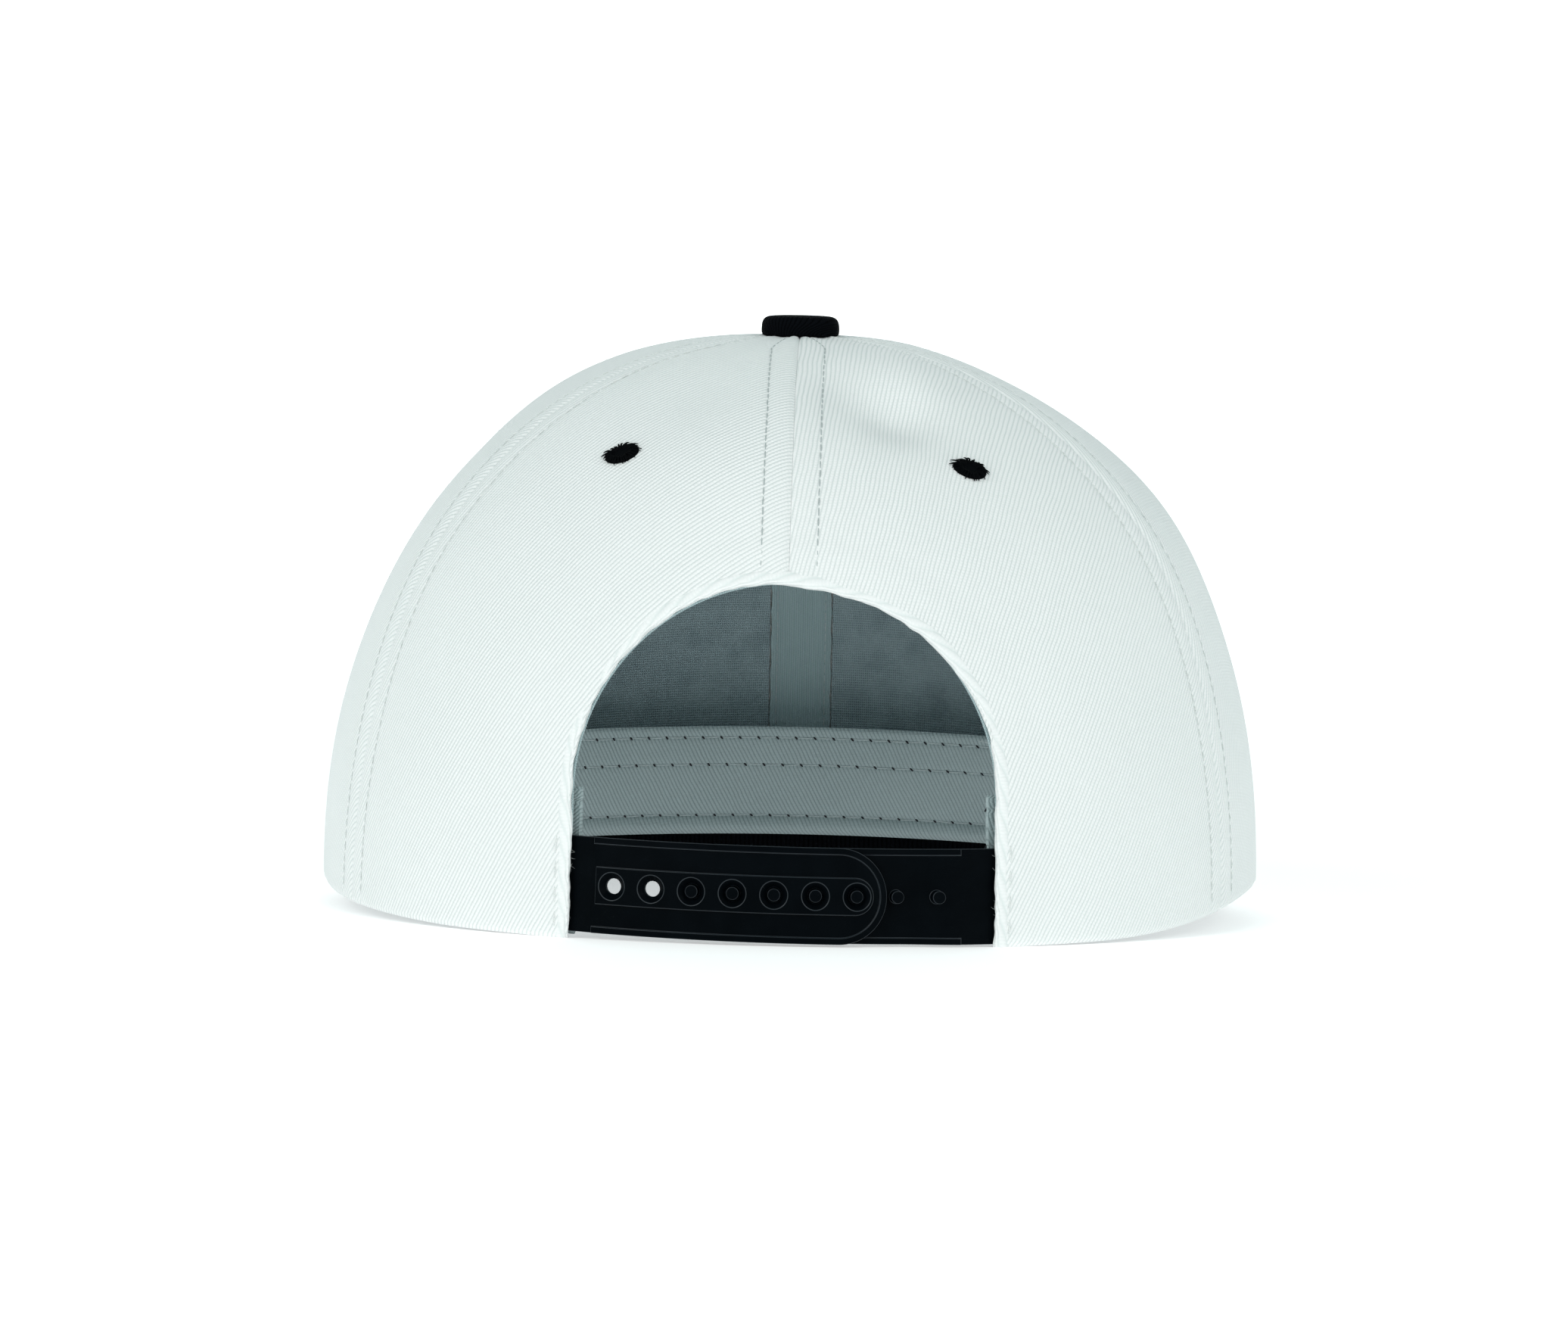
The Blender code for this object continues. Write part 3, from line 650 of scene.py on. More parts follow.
def plastic_material(name, light=1.0, specular=0.02):
    """Matte moulded plastic with fine drag lines along the strap."""
    nodes = Nodes(name, 0.42, 0.0, specular)
    vector, _, _, _ = nodes.coordinates("Object")
    grain = nodes.noise(vector, 2200.0, 3.0)
    drag = nodes.noise(vector, 180.0, 2.0)
    dark = (0.0008 * light, 0.0017 * light, 0.0026 * light)
    pale = (0.0014 * light, 0.0026 * light, 0.0038 * light)
    nodes.colour(nodes.ramp(drag, ((0.3, dark), (0.7, pale))))
    rough = nodes.math("MULTIPLY_ADD", grain, 0.22, 0.33)
    nodes.rough(rough)
    nodes.bump(grain, 0.02 * MM, 0.5)
    return nodes.material


WHITE = (0.885, 0.895, 0.892)
WHITE_SHADE = (0.685, 0.73, 0.722)
TWILL_ANGLE = 57.0

white_twill = twill("white_twill", TWILL_ANGLE, WHITE, WHITE_SHADE)
white_hem = twill("white_hem", 80.0, WHITE, (0.74, 0.79, 0.78), contrast=0.6)
# The sweatband is white twill; this grey-teal colour is painted shade for the inside of the crown.
band_twill_in_shade = twill("band_twill_in_shade", 67.0, (0.42, 0.51, 0.52), (0.25, 0.32, 0.33), pitch=0.85 * MM)
# The tapes and the opening's facing are white cloth; this grey-teal colour is painted shade for the inside of
# the crown.
white_tape = twill("white_tape", 90.0, (0.46, 0.59, 0.61), (0.34, 0.45, 0.47), pitch=0.5 * MM, contrast=0.5)
black_twill = twill(
    "black_twill", 60.0, (0.0028, 0.0034, 0.0046), (0.0004, 0.0006, 0.0008), sheen=0.0, specular=0.02
)
white_thread = thread_material("white_thread", (0.80, 0.83, 0.82))
# The back seam's topstitches are the same white thread as the other rows; this grey copy is painted shade
# along the back seam.
shaded_row_thread = thread_material("shaded_row_thread", (0.50, 0.55, 0.55))
# The stitches inside the cap are white thread; this grey-teal is painted shade for the inside of the crown.
inside_thread_in_shade = thread_material("inside_thread_in_shade", (0.60, 0.69, 0.70))
black_thread = thread_material("black_thread", (0.0018, 0.0023, 0.0030), 0.6, 0.0, 0.03)
# Near-black patches that lie on the sweatband at the needle holes: painted shade standing in for the holes.
needle_hole_shade = thread_material("needle_hole", (0.02, 0.025, 0.03))
# The stiffener's dark grey-teal colour is painted shade for the inside of the crown.
buckram = buckram_material("buckram", (0.40, 0.50, 0.53), (0.20, 0.27, 0.30))
plastic = plastic_material("black_plastic")
# The strap's bevelled edges: five times lighter and more specular than the plastic, a painted highlight along
# the edges with some edge wear.
wear_and_highlight_plastic = plastic_material("wear_and_highlight_edge", 5.0, 0.4)


# Panels

SEAM_DIP = 0.44 * MM
SEAM_DIP_SPREAD = 0.55 * MM
SEAM_PUFF = 0.17 * MM
SEAM_PUFF_PLACE = 2.7 * MM
SEAM_PUFF_SPREAD = 1.5 * MM
ROW_DIP = 0.17 * MM
ROW_DIP_SPREAD = 0.5 * MM
PUCKER = 0.03 * MM
PUCKER_SPREAD = 1.6 * MM
RIM_FOLD = 0.55 * MM
RIM_FOLD_SPREAD = 0.35 * MM
ARCH_RIDGE = 0.2 * MM  # how far the cloth stands out over the opening's facing
ARCH_RIDGE_START = 6.5 * MM
ARCH_RIDGE_END = 9.0 * MM
LEAST_WALL = 0.2 * MM
ROW_DEPTH = 0.12 * MM  # of the topstitches' middle
ROW_TOP_GAP = 3.0  # degrees that the rows end short of the button
ROW_SPAN = 60.0  # degrees, the narrowest panel beside a row

# Distances from a seam or the rim at which a panel gets a line of points
EDGE_LINES = np.array([0.0, 0.12, 0.3, 0.55, 0.9, 1.4, 2.1, 2.9, 3.8, 4.5, 4.9, 5.2, 5.5, 5.9, 6.8, 8.2]) * MM
RIM_LINES = np.array([0.0, 0.1, 0.25, 0.5, 0.8, 1.2, 1.8, 2.6]) * MM
PANEL_MIDDLE_COLUMNS = 34
PANEL_ROWS = 110
FIRST_ROW = 3.6 * MM
MERIDIAN = 0.165  # rough length of a panel from rim to button
NARROW_WIDTH = 22.0 * MM  # below this width a panel's edge lines close up


def edge_scale(start, end, rise):
    """How much the lines along a seam close up where a panel is narrow."""
    width = axis_distance((start + end) / 2, rise) * math.radians(end - start)
    return np.minimum(1.0, width / NARROW_WIDTH)


def sewing_depth(from_seam, from_rim):
    """Relief that the sewing gives the cloth: inward at seams, rows and the rim's fold."""
    seam = SEAM_DIP * bell(from_seam, 0.0, SEAM_DIP_SPREAD)
    puff = SEAM_PUFF * bell(from_seam, SEAM_PUFF_PLACE, SEAM_PUFF_SPREAD)
    row = ROW_DIP * bell(from_seam, SEAM_ROW, ROW_DIP_SPREAD)
    wave = np.sin(from_rim * 2 * math.pi / STITCH_PITCH)
    pucker = PUCKER * wave * bell(from_seam, SEAM_ROW, PUCKER_SPREAD)
    fold = RIM_FOLD * bell(from_rim, 0.0, RIM_FOLD_SPREAD)
    return seam - puff + row + pucker + fold


def unevenness(angle, rise):
    """Slow ripples of hand-worn cloth, a fraction of a millimetre."""
    first = np.sin(np.radians(angle * 5.3 + rise * 3.1)) * np.sin(np.radians(rise * 7.7 - angle * 1.9))
    second = np.sin(np.radians(angle * 11.0 - rise * 6.3 + 40.0)) * np.cos(np.radians(rise * 4.1 + 20.0))
    return 0.14 * MM * first + 0.08 * MM * second


def panel_grid(start, end):
    rows = np.concatenate([RIM_LINES / MERIDIAN, np.linspace(FIRST_ROW / MERIDIAN, 1.0, PANEL_ROWS)])[:, None]
    rise_start = rows * top_rise(start)
    rise_end = rows * top_rise(end)
    lines = EDGE_LINES[None, :] * edge_scale(start, end, rows * top_rise((start + end) / 2))
    low = beside_seam(start, rise_start, SEAM_GAP / 2 + lines)
    high = beside_seam(end, rise_end, -SEAM_GAP / 2 - lines)
    share = np.linspace(0.0, 1.0, PANEL_MIDDLE_COLUMNS + 2)[1:-1][None, :]
    middle = low[:, -1:] + (high[:, -1:] - low[:, -1:]) * share
    angle = np.concatenate([low, middle, high[:, ::-1]], axis=1)
    rise = rows * top_rise(angle)
    far = np.full((1, PANEL_MIDDLE_COLUMNS), 1.0)
    from_seam = np.concatenate([EDGE_LINES[None, :], far, EDGE_LINES[None, ::-1]], axis=1)
    return angle, rise, np.broadcast_to(from_seam, angle.shape), np.broadcast_to(rows * MERIDIAN, angle.shape)


def make_panel(name, start, end):
    angle, rise, from_seam, from_rim = panel_grid(start, end)
    relief = sewing_depth(from_seam, from_rim) - unevenness(angle, rise)
    from_arch = arch_distance(crown(angle, rise))
    relief = relief - ARCH_RIDGE * (1 - blend(from_arch, ARCH_RIDGE_START, ARCH_RIDGE_END))
    outer = crown_at(angle, rise, np.minimum(relief, WALL - LEAST_WALL))
    inner = crown_at(angle, rise, WALL)
    cloth = panel_cloth(crown(angle, rise), angle, (start + end) / 2)
    mesh = sheet_mesh(name, outer, inner, cloth)
    return add_piece(name + "_cloth", mesh, white_twill, [name])


def arch_distance(place):
    """How far a point of the back lies from the opening's edge, seen from the back."""
    reach = np.hypot(place[..., 0], np.maximum(place[..., 2] - OPENING_CENTRE, 0.0))
    return np.where(place[..., 1] < 0, np.abs(reach - OPENING_RADIUS), 1.0)


def arch_points(radius, foot, steps=96, leg_steps=12):
    """The opening's outline as x and z: up one leg, round the arc and down the other leg."""
    arc = np.linspace(0.0, math.pi, steps)
    legs = np.linspace(foot, OPENING_CENTRE, leg_steps, endpoint=False)
    x = np.concatenate([np.full(leg_steps, radius), radius * np.cos(arc), np.full(leg_steps, -radius)])
    z = np.concatenate([legs, OPENING_CENTRE + radius * np.sin(arc), legs[::-1]])
    return x, z


def on_crown(x, z):
    """Angle and rise of the points of the crown's back that show at x and z."""
    angle = np.degrees(np.arcsin(np.clip(2 * x / RIM_WIDTH, -1.0, 1.0)))
    rise = rise_at_height(angle, z)
    for _ in range(8):
        place = crown(angle, rise)
        rise = rise_at_height(angle, z - (place[..., 2] - crown_flat_height(angle, rise)))
        sine = np.sin(np.radians(angle))
        reach = place[..., 0] / np.where(np.abs(sine) < 1e-9, 1.0, sine)
        reach = np.where(np.abs(reach) < 1e-6, RIM_WIDTH / 2, reach)
        angle = np.degrees(np.arcsin(np.clip(x / reach, -1.0, 1.0)))
    return angle, rise


def crown_flat_height(angle, rise):
    """The crown's height without its dents."""
    lift = rim_lift(angle)
    return lift + (CROWN_HEIGHT - lift) * np.sin(np.radians(rise)) ** outline_power(angle)


def cut_opening(panel):
    """Cuts the arched opening through a back panel and applies the cut."""
    x, z = arch_points(OPENING_RADIUS, -20.0 * MM)
    tool = temporary(flat_prism(zip(x, z), -RIM_LENGTH, -RIM_LENGTH / 10), "cutter")
    tool.data.transform(STAND)
    add_boolean(panel, "DIFFERENCE", tool)
    cut = evaluated_mesh(panel)
    panel.modifiers.clear()
    panel.data = cut
    bpy.data.objects.remove(tool, do_unlink=True)


def seam_rows(name, seam, foot_rise):
    """The two topstitch rows beside a seam."""
    parts = []
    for side in (-1.0, 1.0):
        rises = np.linspace(foot_rise, float(top_rise(seam)) - ROW_TOP_GAP, 160)
        closed = edge_scale(seam, seam + ROW_SPAN, rises)
        angle = beside_seam(seam, rises, side * SEAM_ROW * closed)
        points = crown_at(angle, rises, ROW_DEPTH - unevenness(angle, rises))
        normals = crown_normal(angle, rises)
        seed = int(abs(seam) + 7 * side + 20)
        parts.append(stitch_row(points, interpolated(points, normals), seed=seed))
    # The back seam's rows take the grey copy of the white thread, painted shade.
    return add_parts(name, parts, shaded_row_thread if seam == 0.0 else white_thread)


HEM_PLACE = 0.55 * MM  # of the roll's middle, past the cut
HEM_DEPTH = 0.30 * MM
HEM_TO_PANEL = 2.3 * MM
HEM_TO_OPENING = 0.75 * MM
HEM_OUT = 0.62 * MM
HEM_IN = 0.85 * MM
HEM_SIDES = 20
HEM_SWELL = 0.16  # how much the roll's thickness comes and goes
HEM_BUMPS = 0.26 * MM
HEM_WANDER = 0.12 * MM
HEM_DROOP = 1.1 * MM  # how far the edge falls right of the seam
HEM_DROOP_PLACE = 12.0 * MM
HEM_DROOP_SPREAD = 13.0 * MM


def make_hem():
    """The turned edge of the arched opening: a soft roll that follows the cut."""
    foot = float(rim_lift(rim_angle(OPENING_RADIUS))) + 0.1 * MM
    x, z = arch_points(OPENING_RADIUS + HEM_PLACE, foot, steps=180, leg_steps=40)
    angle, rise = on_crown(x, z)
    centre = crown_at(angle, rise, HEM_DEPTH)
    normal = crown_normal(angle, rise)
    aside = unit(np.cross(normal, unit(np.gradient(centre, axis=0))))
    ring = []
    for turn in np.linspace(0.0, 2 * math.pi, HEM_SIDES, endpoint=False):
        width = HEM_TO_PANEL if math.cos(turn) > 0 else HEM_TO_OPENING
        height = HEM_OUT if math.sin(turn) > 0 else HEM_IN
        ring.append((math.cos(turn) * width, math.sin(turn) * height))
    count = len(x)
    wave = 1 + HEM_SWELL * np.sin(np.linspace(0, 61.0, count)) * np.sin(np.linspace(0, 23.0, count))
    random = np.random.default_rng(5)
    window = np.hanning(7)
    bumps = np.convolve(random.normal(0.0, 1.0, count), window / window.sum(), mode="same")
    edge = HEM_BUMPS * bumps + HEM_WANDER * np.sin(np.linspace(0.0, 34.0, count))
    over_arch = blend(z, OPENING_CENTRE, OPENING_CENTRE + 30.0 * MM)
    droop = HEM_DROOP * bell(x, HEM_DROOP_PLACE, HEM_DROOP_SPREAD) * over_arch
    sign = -1.0 if float(aside[0, 0]) < 0 else 1.0
    rows = []
    for offset, height in ring:
        moved = sign * (offset + (edge if offset < 0 else 0.0) - droop)
        rows.append(centre + aside * moved[:, None] + normal * (height * wave[:, None]))
    length = lengths_along(centre)
    girth = np.linspace(0.0, 5.0 * MM, HEM_SIDES)
    flat = np.stack(np.broadcast_arrays(girth[None, :], length[:, None]), axis=-1)
    mesh = new_mesh("opening_hem", np.stack(rows, axis=1), tube_faces(count, HEM_SIDES), flat)
    fix_outward(mesh)
    return add_piece("opening_hem", mesh, white_hem)


EDGE_STITCH_PITCH = 4.9 * MM
EDGE_STITCH_LENGTH = 3.6 * MM
EDGE_STITCH_RADIUS = 0.22 * MM
EDGE_STITCH_PLACE = 2.6 * MM  # from the opening's edge
EDGE_STITCH_FOOT = 1.2 * MM
EDGE_STITCH_TOP = 21.0 * MM


def make_edge_stitches():
    """The long stitches beside the opening that hold the ends of the strap."""
    parts = []
    for sign in (-1.0, 1.0):
        height = np.linspace(EDGE_STITCH_FOOT, EDGE_STITCH_TOP, 40)
        across = np.full_like(height, sign * (OPENING_RADIUS + EDGE_STITCH_PLACE))
        angle, rise = on_crown(across, height + rim_lift(rim_angle(across)))
        points = crown_at(angle, rise, -0.02 * MM)
        at = interpolated(points, crown_normal(angle, rise))
        parts.append(stitch_row(
            points, at, EDGE_STITCH_PITCH, EDGE_STITCH_LENGTH, EDGE_STITCH_RADIUS, seed=50 + int(sign)
        ))
    add_parts("strap_stitches", parts, white_thread)


def make_lint():
    """Loose fibres along the opening's edge and round the button's foot."""
    random = np.random.default_rng(11)
    x, z = arch_points(OPENING_RADIUS + 0.1 * MM, 2.0 * MM, 300, 90)
    chosen = random.choice(len(x), LINT_COUNT, replace=False)
    angle, rise = on_crown(x[chosen], z[chosen])
    roots = crown_at(angle, rise, 0.3 * MM)
    inward = unit(np.stack([-x[chosen], np.zeros(LINT_COUNT), OPENING_CENTRE - z[chosen]], axis=-1))
    directions = unit(inward + random.normal(0.0, 0.7, (LINT_COUNT, 3)) - [0.0, 0.5, 0.0])
    lengths = random.uniform(0.5, 1.7, LINT_COUNT) * MM
    hairs = hair_points(roots, directions, lengths, random.normal(0.0, 0.6, LINT_COUNT), 0.028 * MM)
    add_parts("opening_lint", [hairs], white_thread)
    turn = random.uniform(0.0, 2 * math.pi, LINT_COUNT // 2)
    away = np.stack([np.sin(turn), -np.cos(turn), np.zeros_like(turn)], axis=-1)
    foot = away * BUTTON_DIAMETER * 0.47
    foot[:, 2] = CROWN_HEIGHT + 0.1 * MM
    directions = unit(away + [0.0, 0.0, 0.15] + random.normal(0.0, 0.35, (len(turn), 3)))
    lengths = random.uniform(0.8, 2.2, len(turn)) * MM
    hairs = hair_points(foot, directions, lengths, random.normal(0.0, 0.5, len(turn)), 0.03 * MM)
    add_parts("button_lint", [hairs], black_thread)


def fix_outward(mesh):
    """Turns a closed mesh's faces outward."""
    solid = bmesh.new()
    solid.from_mesh(mesh)
    bmesh.ops.recalc_face_normals(solid, faces=solid.faces)
    solid.to_mesh(mesh)
    solid.free()


def make_crown():
    spans = {"back": SEAM_ANGLES[0:2], "side": SEAM_ANGLES[1:3], "front": SEAM_ANGLES[2:4]}
    for side, sign in SIDES:
        for place, span in spans.items():
            start, end = sorted(sign * angle for angle in span)
            panel = make_panel(f"panel_{place}_{side}", start, end)
            if place == "back":
                cut_opening(panel)
            share, nearer, tilt, fullness = EYELET_PLACES[f"{place}_{side}"]
            eyelet_angle = sign * (span[0] + (span[1] - span[0]) * share)
            make_eyelet(f"eyelet_{place}_{side}", eyelet_angle, EYELET_REACH - nearer, tilt, fullness)
        seam_rows(f"stitches_back_{side}", sign * SEAM_ANGLES[1], 0.8)
        seam_rows(f"stitches_front_{side}", sign * SEAM_ANGLES[2], 0.8)
    seam_rows("stitches_front", 180.0, 0.8)
    opening_top = OPENING_CENTRE + OPENING_RADIUS + 2.5 * MM
    seam_rows("stitches_back", 0.0, float(rise_at_height(0.0, opening_top)))


# Eyelets and button

def revolve(profile, sides):
    """Points and faces of a profile of (radius, height) turned round Z, with its ends closed on the axis."""
    turns = np.arange(sides) * 2 * math.pi / sides
    points = [[0.0, 0.0, profile[0][1]]]
    for radius, height in profile[1:-1]:
        points += [[radius * math.cos(turn), radius * math.sin(turn), height] for turn in turns]
    points.append([0.0, 0.0, profile[-1][1]])
    faces = []
    rings = len(profile) - 2
    for side in range(sides):
        following = (side + 1) % sides
        faces.append((0, 1 + side, 1 + following))
        for ring in range(rings - 1):
            base = 1 + ring * sides
            faces.append((base + side, base + sides + side, base + sides + following, base + following))
        base = 1 + (rings - 1) * sides
        faces.append((base + side, len(points) - 1, base + following))
    return np.array(points), faces


def smooth_profile(knots, steps):
    """A round curve through a profile's knots."""
    knots = np.array(knots)
    length = lengths_along(knots)
    coarse = spots_at(np.linspace(0.0, length[-1], steps), length, knots)
    for _ in range(3):
        coarse[1:-1] = (coarse[:-2] + 2 * coarse[1:-1] + coarse[2:]) / 4
    return coarse.tolist()


EYELET_THREADS = 52
EYELET_THREAD_RADIUS = 0.21 * MM
EYELET_THREAD_ARCH = 0.95 * MM
EYELET_HOLE_RADIUS = 0.75 * MM
# columns: radius and height of the padded ring under the threads, in mm
EYELET_PAD = ((0.0, 0.35), (1.2, 0.45), (2.4, 0.55), (3.3, 0.35), (3.7, -0.2), (3.0, -0.5), (0.0, -0.5))
# columns: share of the button's radius, share of its height
BUTTON_PROFILE = (
    (0.0, 1.0), (0.5, 0.995), (0.82, 0.96), (0.94, 0.87), (0.985, 0.70), (1.0, 0.42), (0.995, 0.15),
    (0.97, -0.02), (0.88, -0.06), (0.4, 0.0), (0.0, 0.0),
)


def make_eyelet(name, angle, reach, tilt, fullness):
    """An embroidered eyelet: satin stitches that lie out from a small hole over a padded ring."""
    rise = float(rise_at_reach(angle, reach))
    place = crown_at(angle, rise, -0.05 * MM)
    stand = Vector(crown_normal(angle, rise)).to_track_quat("Z", "Y").to_matrix()
    turn = stand @ Matrix.Rotation(math.radians(tilt), 3, "Z")
    random = np.random.default_rng(int(abs(angle) * 10) + (3 if angle > 0 else 0))
    count = EYELET_THREADS
    turns = (np.arange(count) + random.uniform(-0.25, 0.25, count)) * 2 * math.pi / count
    outer = EYELET_DIAMETER / 2 + random.uniform(-0.85, 0.60, count) * MM
    skewed = turns + random.uniform(-0.06, 0.06, count)

    def spots(radius, angles, height):
        return np.stack([radius * np.cos(angles), radius * np.sin(angles), np.full(count, height)], axis=-1)

    threads = thread_points(
        spots(EYELET_HOLE_RADIUS, turns, -0.5 * MM), spots(outer, skewed, 0.12 * MM),
        np.tile([0.0, 0.0, 1.0], (count, 1)), EYELET_THREAD_RADIUS, EYELET_THREAD_ARCH,
    )
    pad = revolve([(radius * MM, height * MM) for radius, height in EYELET_PAD], 28)
    points, faces = merge_parts([threads, pad])
    points = points * np.array([1.0, EYELET_SQUASH, fullness])
    points = points @ np.array(turn).T + place
    return add_piece(name + "_thread", new_mesh(name, points, faces), black_thread, [name])


def make_button():
    foot = CROWN_HEIGHT - 0.1 * MM
    knots = [(BUTTON_DIAMETER / 2 * reach, foot + BUTTON_HEIGHT * height) for reach, height in BUTTON_PROFILE]
    profile = smooth_profile(knots, 40)
    profile[0][0] = 0.0
    profile[-1][0] = 0.0
    points, faces = revolve(profile, 72)
    turn = np.arctan2(points[:, 1], points[:, 0])
    low = blend(foot + BUTTON_HEIGHT - points[:, 2], 1.2 * MM, BUTTON_HEIGHT)
    points[:, :2] *= (1 + 0.012 * low * (np.sin(11 * turn) + 0.6 * np.sin(17 * turn + 1.0)))[:, None]
    flat = points[:, :2] * (1 + 0.6 * low[:, None])
    mesh = new_mesh("button", points, faces, flat)
    fix_outward(mesh)
    return add_piece("button_cover", mesh, black_twill, ["button"])


# Inside

ROW_OFFSETS = np.array([-0.02, -0.008, 0.0, 0.008, 0.02])
EDGE_SHARES = (0.004, 0.012, 0.025, 0.05, 0.96, 0.98, 0.99, 0.996)
NEEDLE_HOLE = 0.24 * MM


def sweatband_relief(angle, up):
    """How far the sweatband's face stands inward, and how much its two edges roll back."""
    belly_share = np.clip((up - SWEATBAND_ROWS[2]) / (1 - SWEATBAND_ROWS[2]), 0, 1)
    rows = sum(0.30 * MM * bell(up, share, 0.016) for share in SWEATBAND_ROWS)
    rows = rows + 0.45 * MM * bell(up, SWEATBAND_ROWS[2], 0.03)
    roll = 0.5 * MM * (bell(up, 0.0, 0.02) + bell(up, 1.0, 0.014))
    belly = 0.5 * MM * np.sin(np.pi * belly_share)
    foot_roll = 1.1 * MM * bell(up, 0.075, 0.055)
    ripple = 0.35 * MM * np.sin(np.radians(angle * 9.0 + 90.0 * up))
    ripple = ripple + 0.22 * MM * np.sin(np.radians(angle * 23.0 - 160.0 * up))
    return belly + foot_roll + ripple * np.sin(np.pi * up) - rows - roll, roll


def make_sweatband():
    end_angle = math.degrees(math.asin(2 * (OPENING_RADIUS + GAP) / RIM_WIDTH))
    tab_angle = float(rim_angle(opening_end() + STRAP_TAB))
    angle = np.linspace(end_angle, 360.0 - end_angle, 420)[None, :]
    row_lines = np.concatenate([share + ROW_OFFSETS for share in SWEATBAND_ROWS])
    up = np.unique(np.concatenate([np.linspace(0.0, 1.0, 22), row_lines, EDGE_SHARES]))[:, None]
    lean_share = blend(from_back(angle), end_angle, 150.0)
    lean = np.radians(SWEATBAND_LEAN_BACK + (SWEATBAND_LEAN_FRONT - SWEATBAND_LEAN_BACK) * lean_share)
    clear_of_tab = blend(from_back(angle), tab_angle + 3.0, tab_angle + 18.0)
    depth = STRAP_BEHIND + (INSIDE_DEPTH - STRAP_BEHIND) * clear_of_tab
    slant = SWEATBAND_WIDTH * up
    rim = crown(angle, 0.0)
    flat_out = unit(crown_normal(angle, np.zeros_like(angle)) * np.array([1.0, 1.0, 0.0]))
    inward, roll = sweatband_relief(angle, up)

    def face(extra):
        moved = depth + slant * np.sin(lean) + extra
        place = rim - flat_out * moved[..., None]
        height = rim_lift(angle) + SWEATBAND_FOOT - SWEATBAND_SAG * lean_share + slant * np.cos(lean)
        place[..., 2] = height
        return place

    inner = face(SWEATBAND_THICKNESS + inward)
    mesh = sheet_mesh("sweatband", face(0.5 * roll), inner, flat_cloth(inner))
    # Its cloth colour is painted shade for the inside of the crown.
    add_piece("sweatband_cloth", mesh, band_twill_in_shade, ["sweatband"])
    threads, holes = [], []
    inward_dir = -flat_out[0]
    for index, share in enumerate(SWEATBAND_ROWS):
        row = int(np.argmin(np.abs(up[:, 0] - share)))
        points = inner[row]
        at = interpolated(points, inward_dir)
        lifted = points + inward_dir * 0.02 * MM
        threads.append(stitch_row(
            lifted, at, SWEATBAND_STITCH, SWEATBAND_STITCH_LENGTH, SWEATBAND_THREAD_RADIUS, 31 + index
        ))
        # Dark patches over the needle holes, painted shade for the holes themselves.
        spots, along, places = path_points(points, SWEATBAND_STITCH, 0.0)
        rise_at = interpolated(points, unit(inner[row + 1] - inner[row - 1]))(places)
        reach = unit(rise_at + along * 0.75) * 0.5 * MM
        normal = at(places)
        spots = spots + normal * 0.06 * MM
        holes.append(thread_points(spots - reach, spots + reach, normal, NEEDLE_HOLE, 0.02 * MM))
    add_parts("sweatband_stitches", threads, inside_thread_in_shade)
    add_parts("sweatband_needle_holes", holes, needle_hole_shade)


def make_tape(name, seam, foot_rise, seed):
    rise = np.linspace(foot_rise, float(top_rise(seam)) - 0.4, 110)[:, None]
    across = np.linspace(-1.0, 1.0, 19)[None, :]
    half = np.minimum(TAPE_WIDTH / 2, axis_distance(seam, rise) * TAPE_POINT_SHARE - GAP / 2)
    wave = 1 + 0.02 * np.sin(rise * 1.7 + seed) + 0.012 * np.sin(rise * 4.3 + 2 * seed)
    edge = np.where(np.abs(across) > 0.9, wave, 1.0)
    angle = beside_seam(seam, rise, half * across * edge)
    row_share = SEAM_ROW / (TAPE_WIDTH / 2)
    dent = 0.12 * MM * bell(np.abs(across), row_share, 0.08)
    crease = 0.14 * MM * bell(across, 0.0, 0.12)
    swell = 0.25 * MM * (1 - across**2) - crease - dent
    outer = crown_at(angle, rise, INSIDE_DEPTH + 0.1 * MM)
    inner = crown_at(angle, rise, INSIDE_DEPTH + TAPE_THICKNESS + swell)
    mesh = sheet_mesh(name, outer, inner, flat_cloth(inner))
    add_piece(name + "_cloth", mesh, white_tape, [name])
    parts = []
    for side in (-1.0, 1.0):
        rises = rise[:, 0]
        close = np.minimum(1.0, half[:, 0] / (TAPE_WIDTH / 2))
        angle_row = beside_seam(seam, rises, side * SEAM_ROW * close)
        points = crown_at(angle_row, rises, INSIDE_DEPTH + TAPE_THICKNESS + 0.10 * MM)
        normals = -crown_normal(angle_row, rises)
        parts.append(stitch_row(points, interpolated(points, normals), seed=int(seed + 3 * side + 60)))
    add_parts(name + "_stitches", parts, inside_thread_in_shade)


def make_tapes():
    make_tape("tape_front", 180.0, TAPE_FOOT_RISE, 1)
    tape_foot = OPENING_CENTRE + OPENING_RADIUS + FACING_WIDTH + GAP + INSIDE_DEPTH + TAPE_THICKNESS
    make_tape("tape_back", 0.0, float(rise_at_height(0.0, tape_foot)), 2)
    for side, sign in SIDES:
        make_tape(f"tape_back_{side}", sign * SEAM_ANGLES[1], TAPE_FOOT_RISE, 3 + sign)
        make_tape(f"tape_front_{side}", sign * SEAM_ANGLES[2], TAPE_FOOT_RISE, 6 + sign)


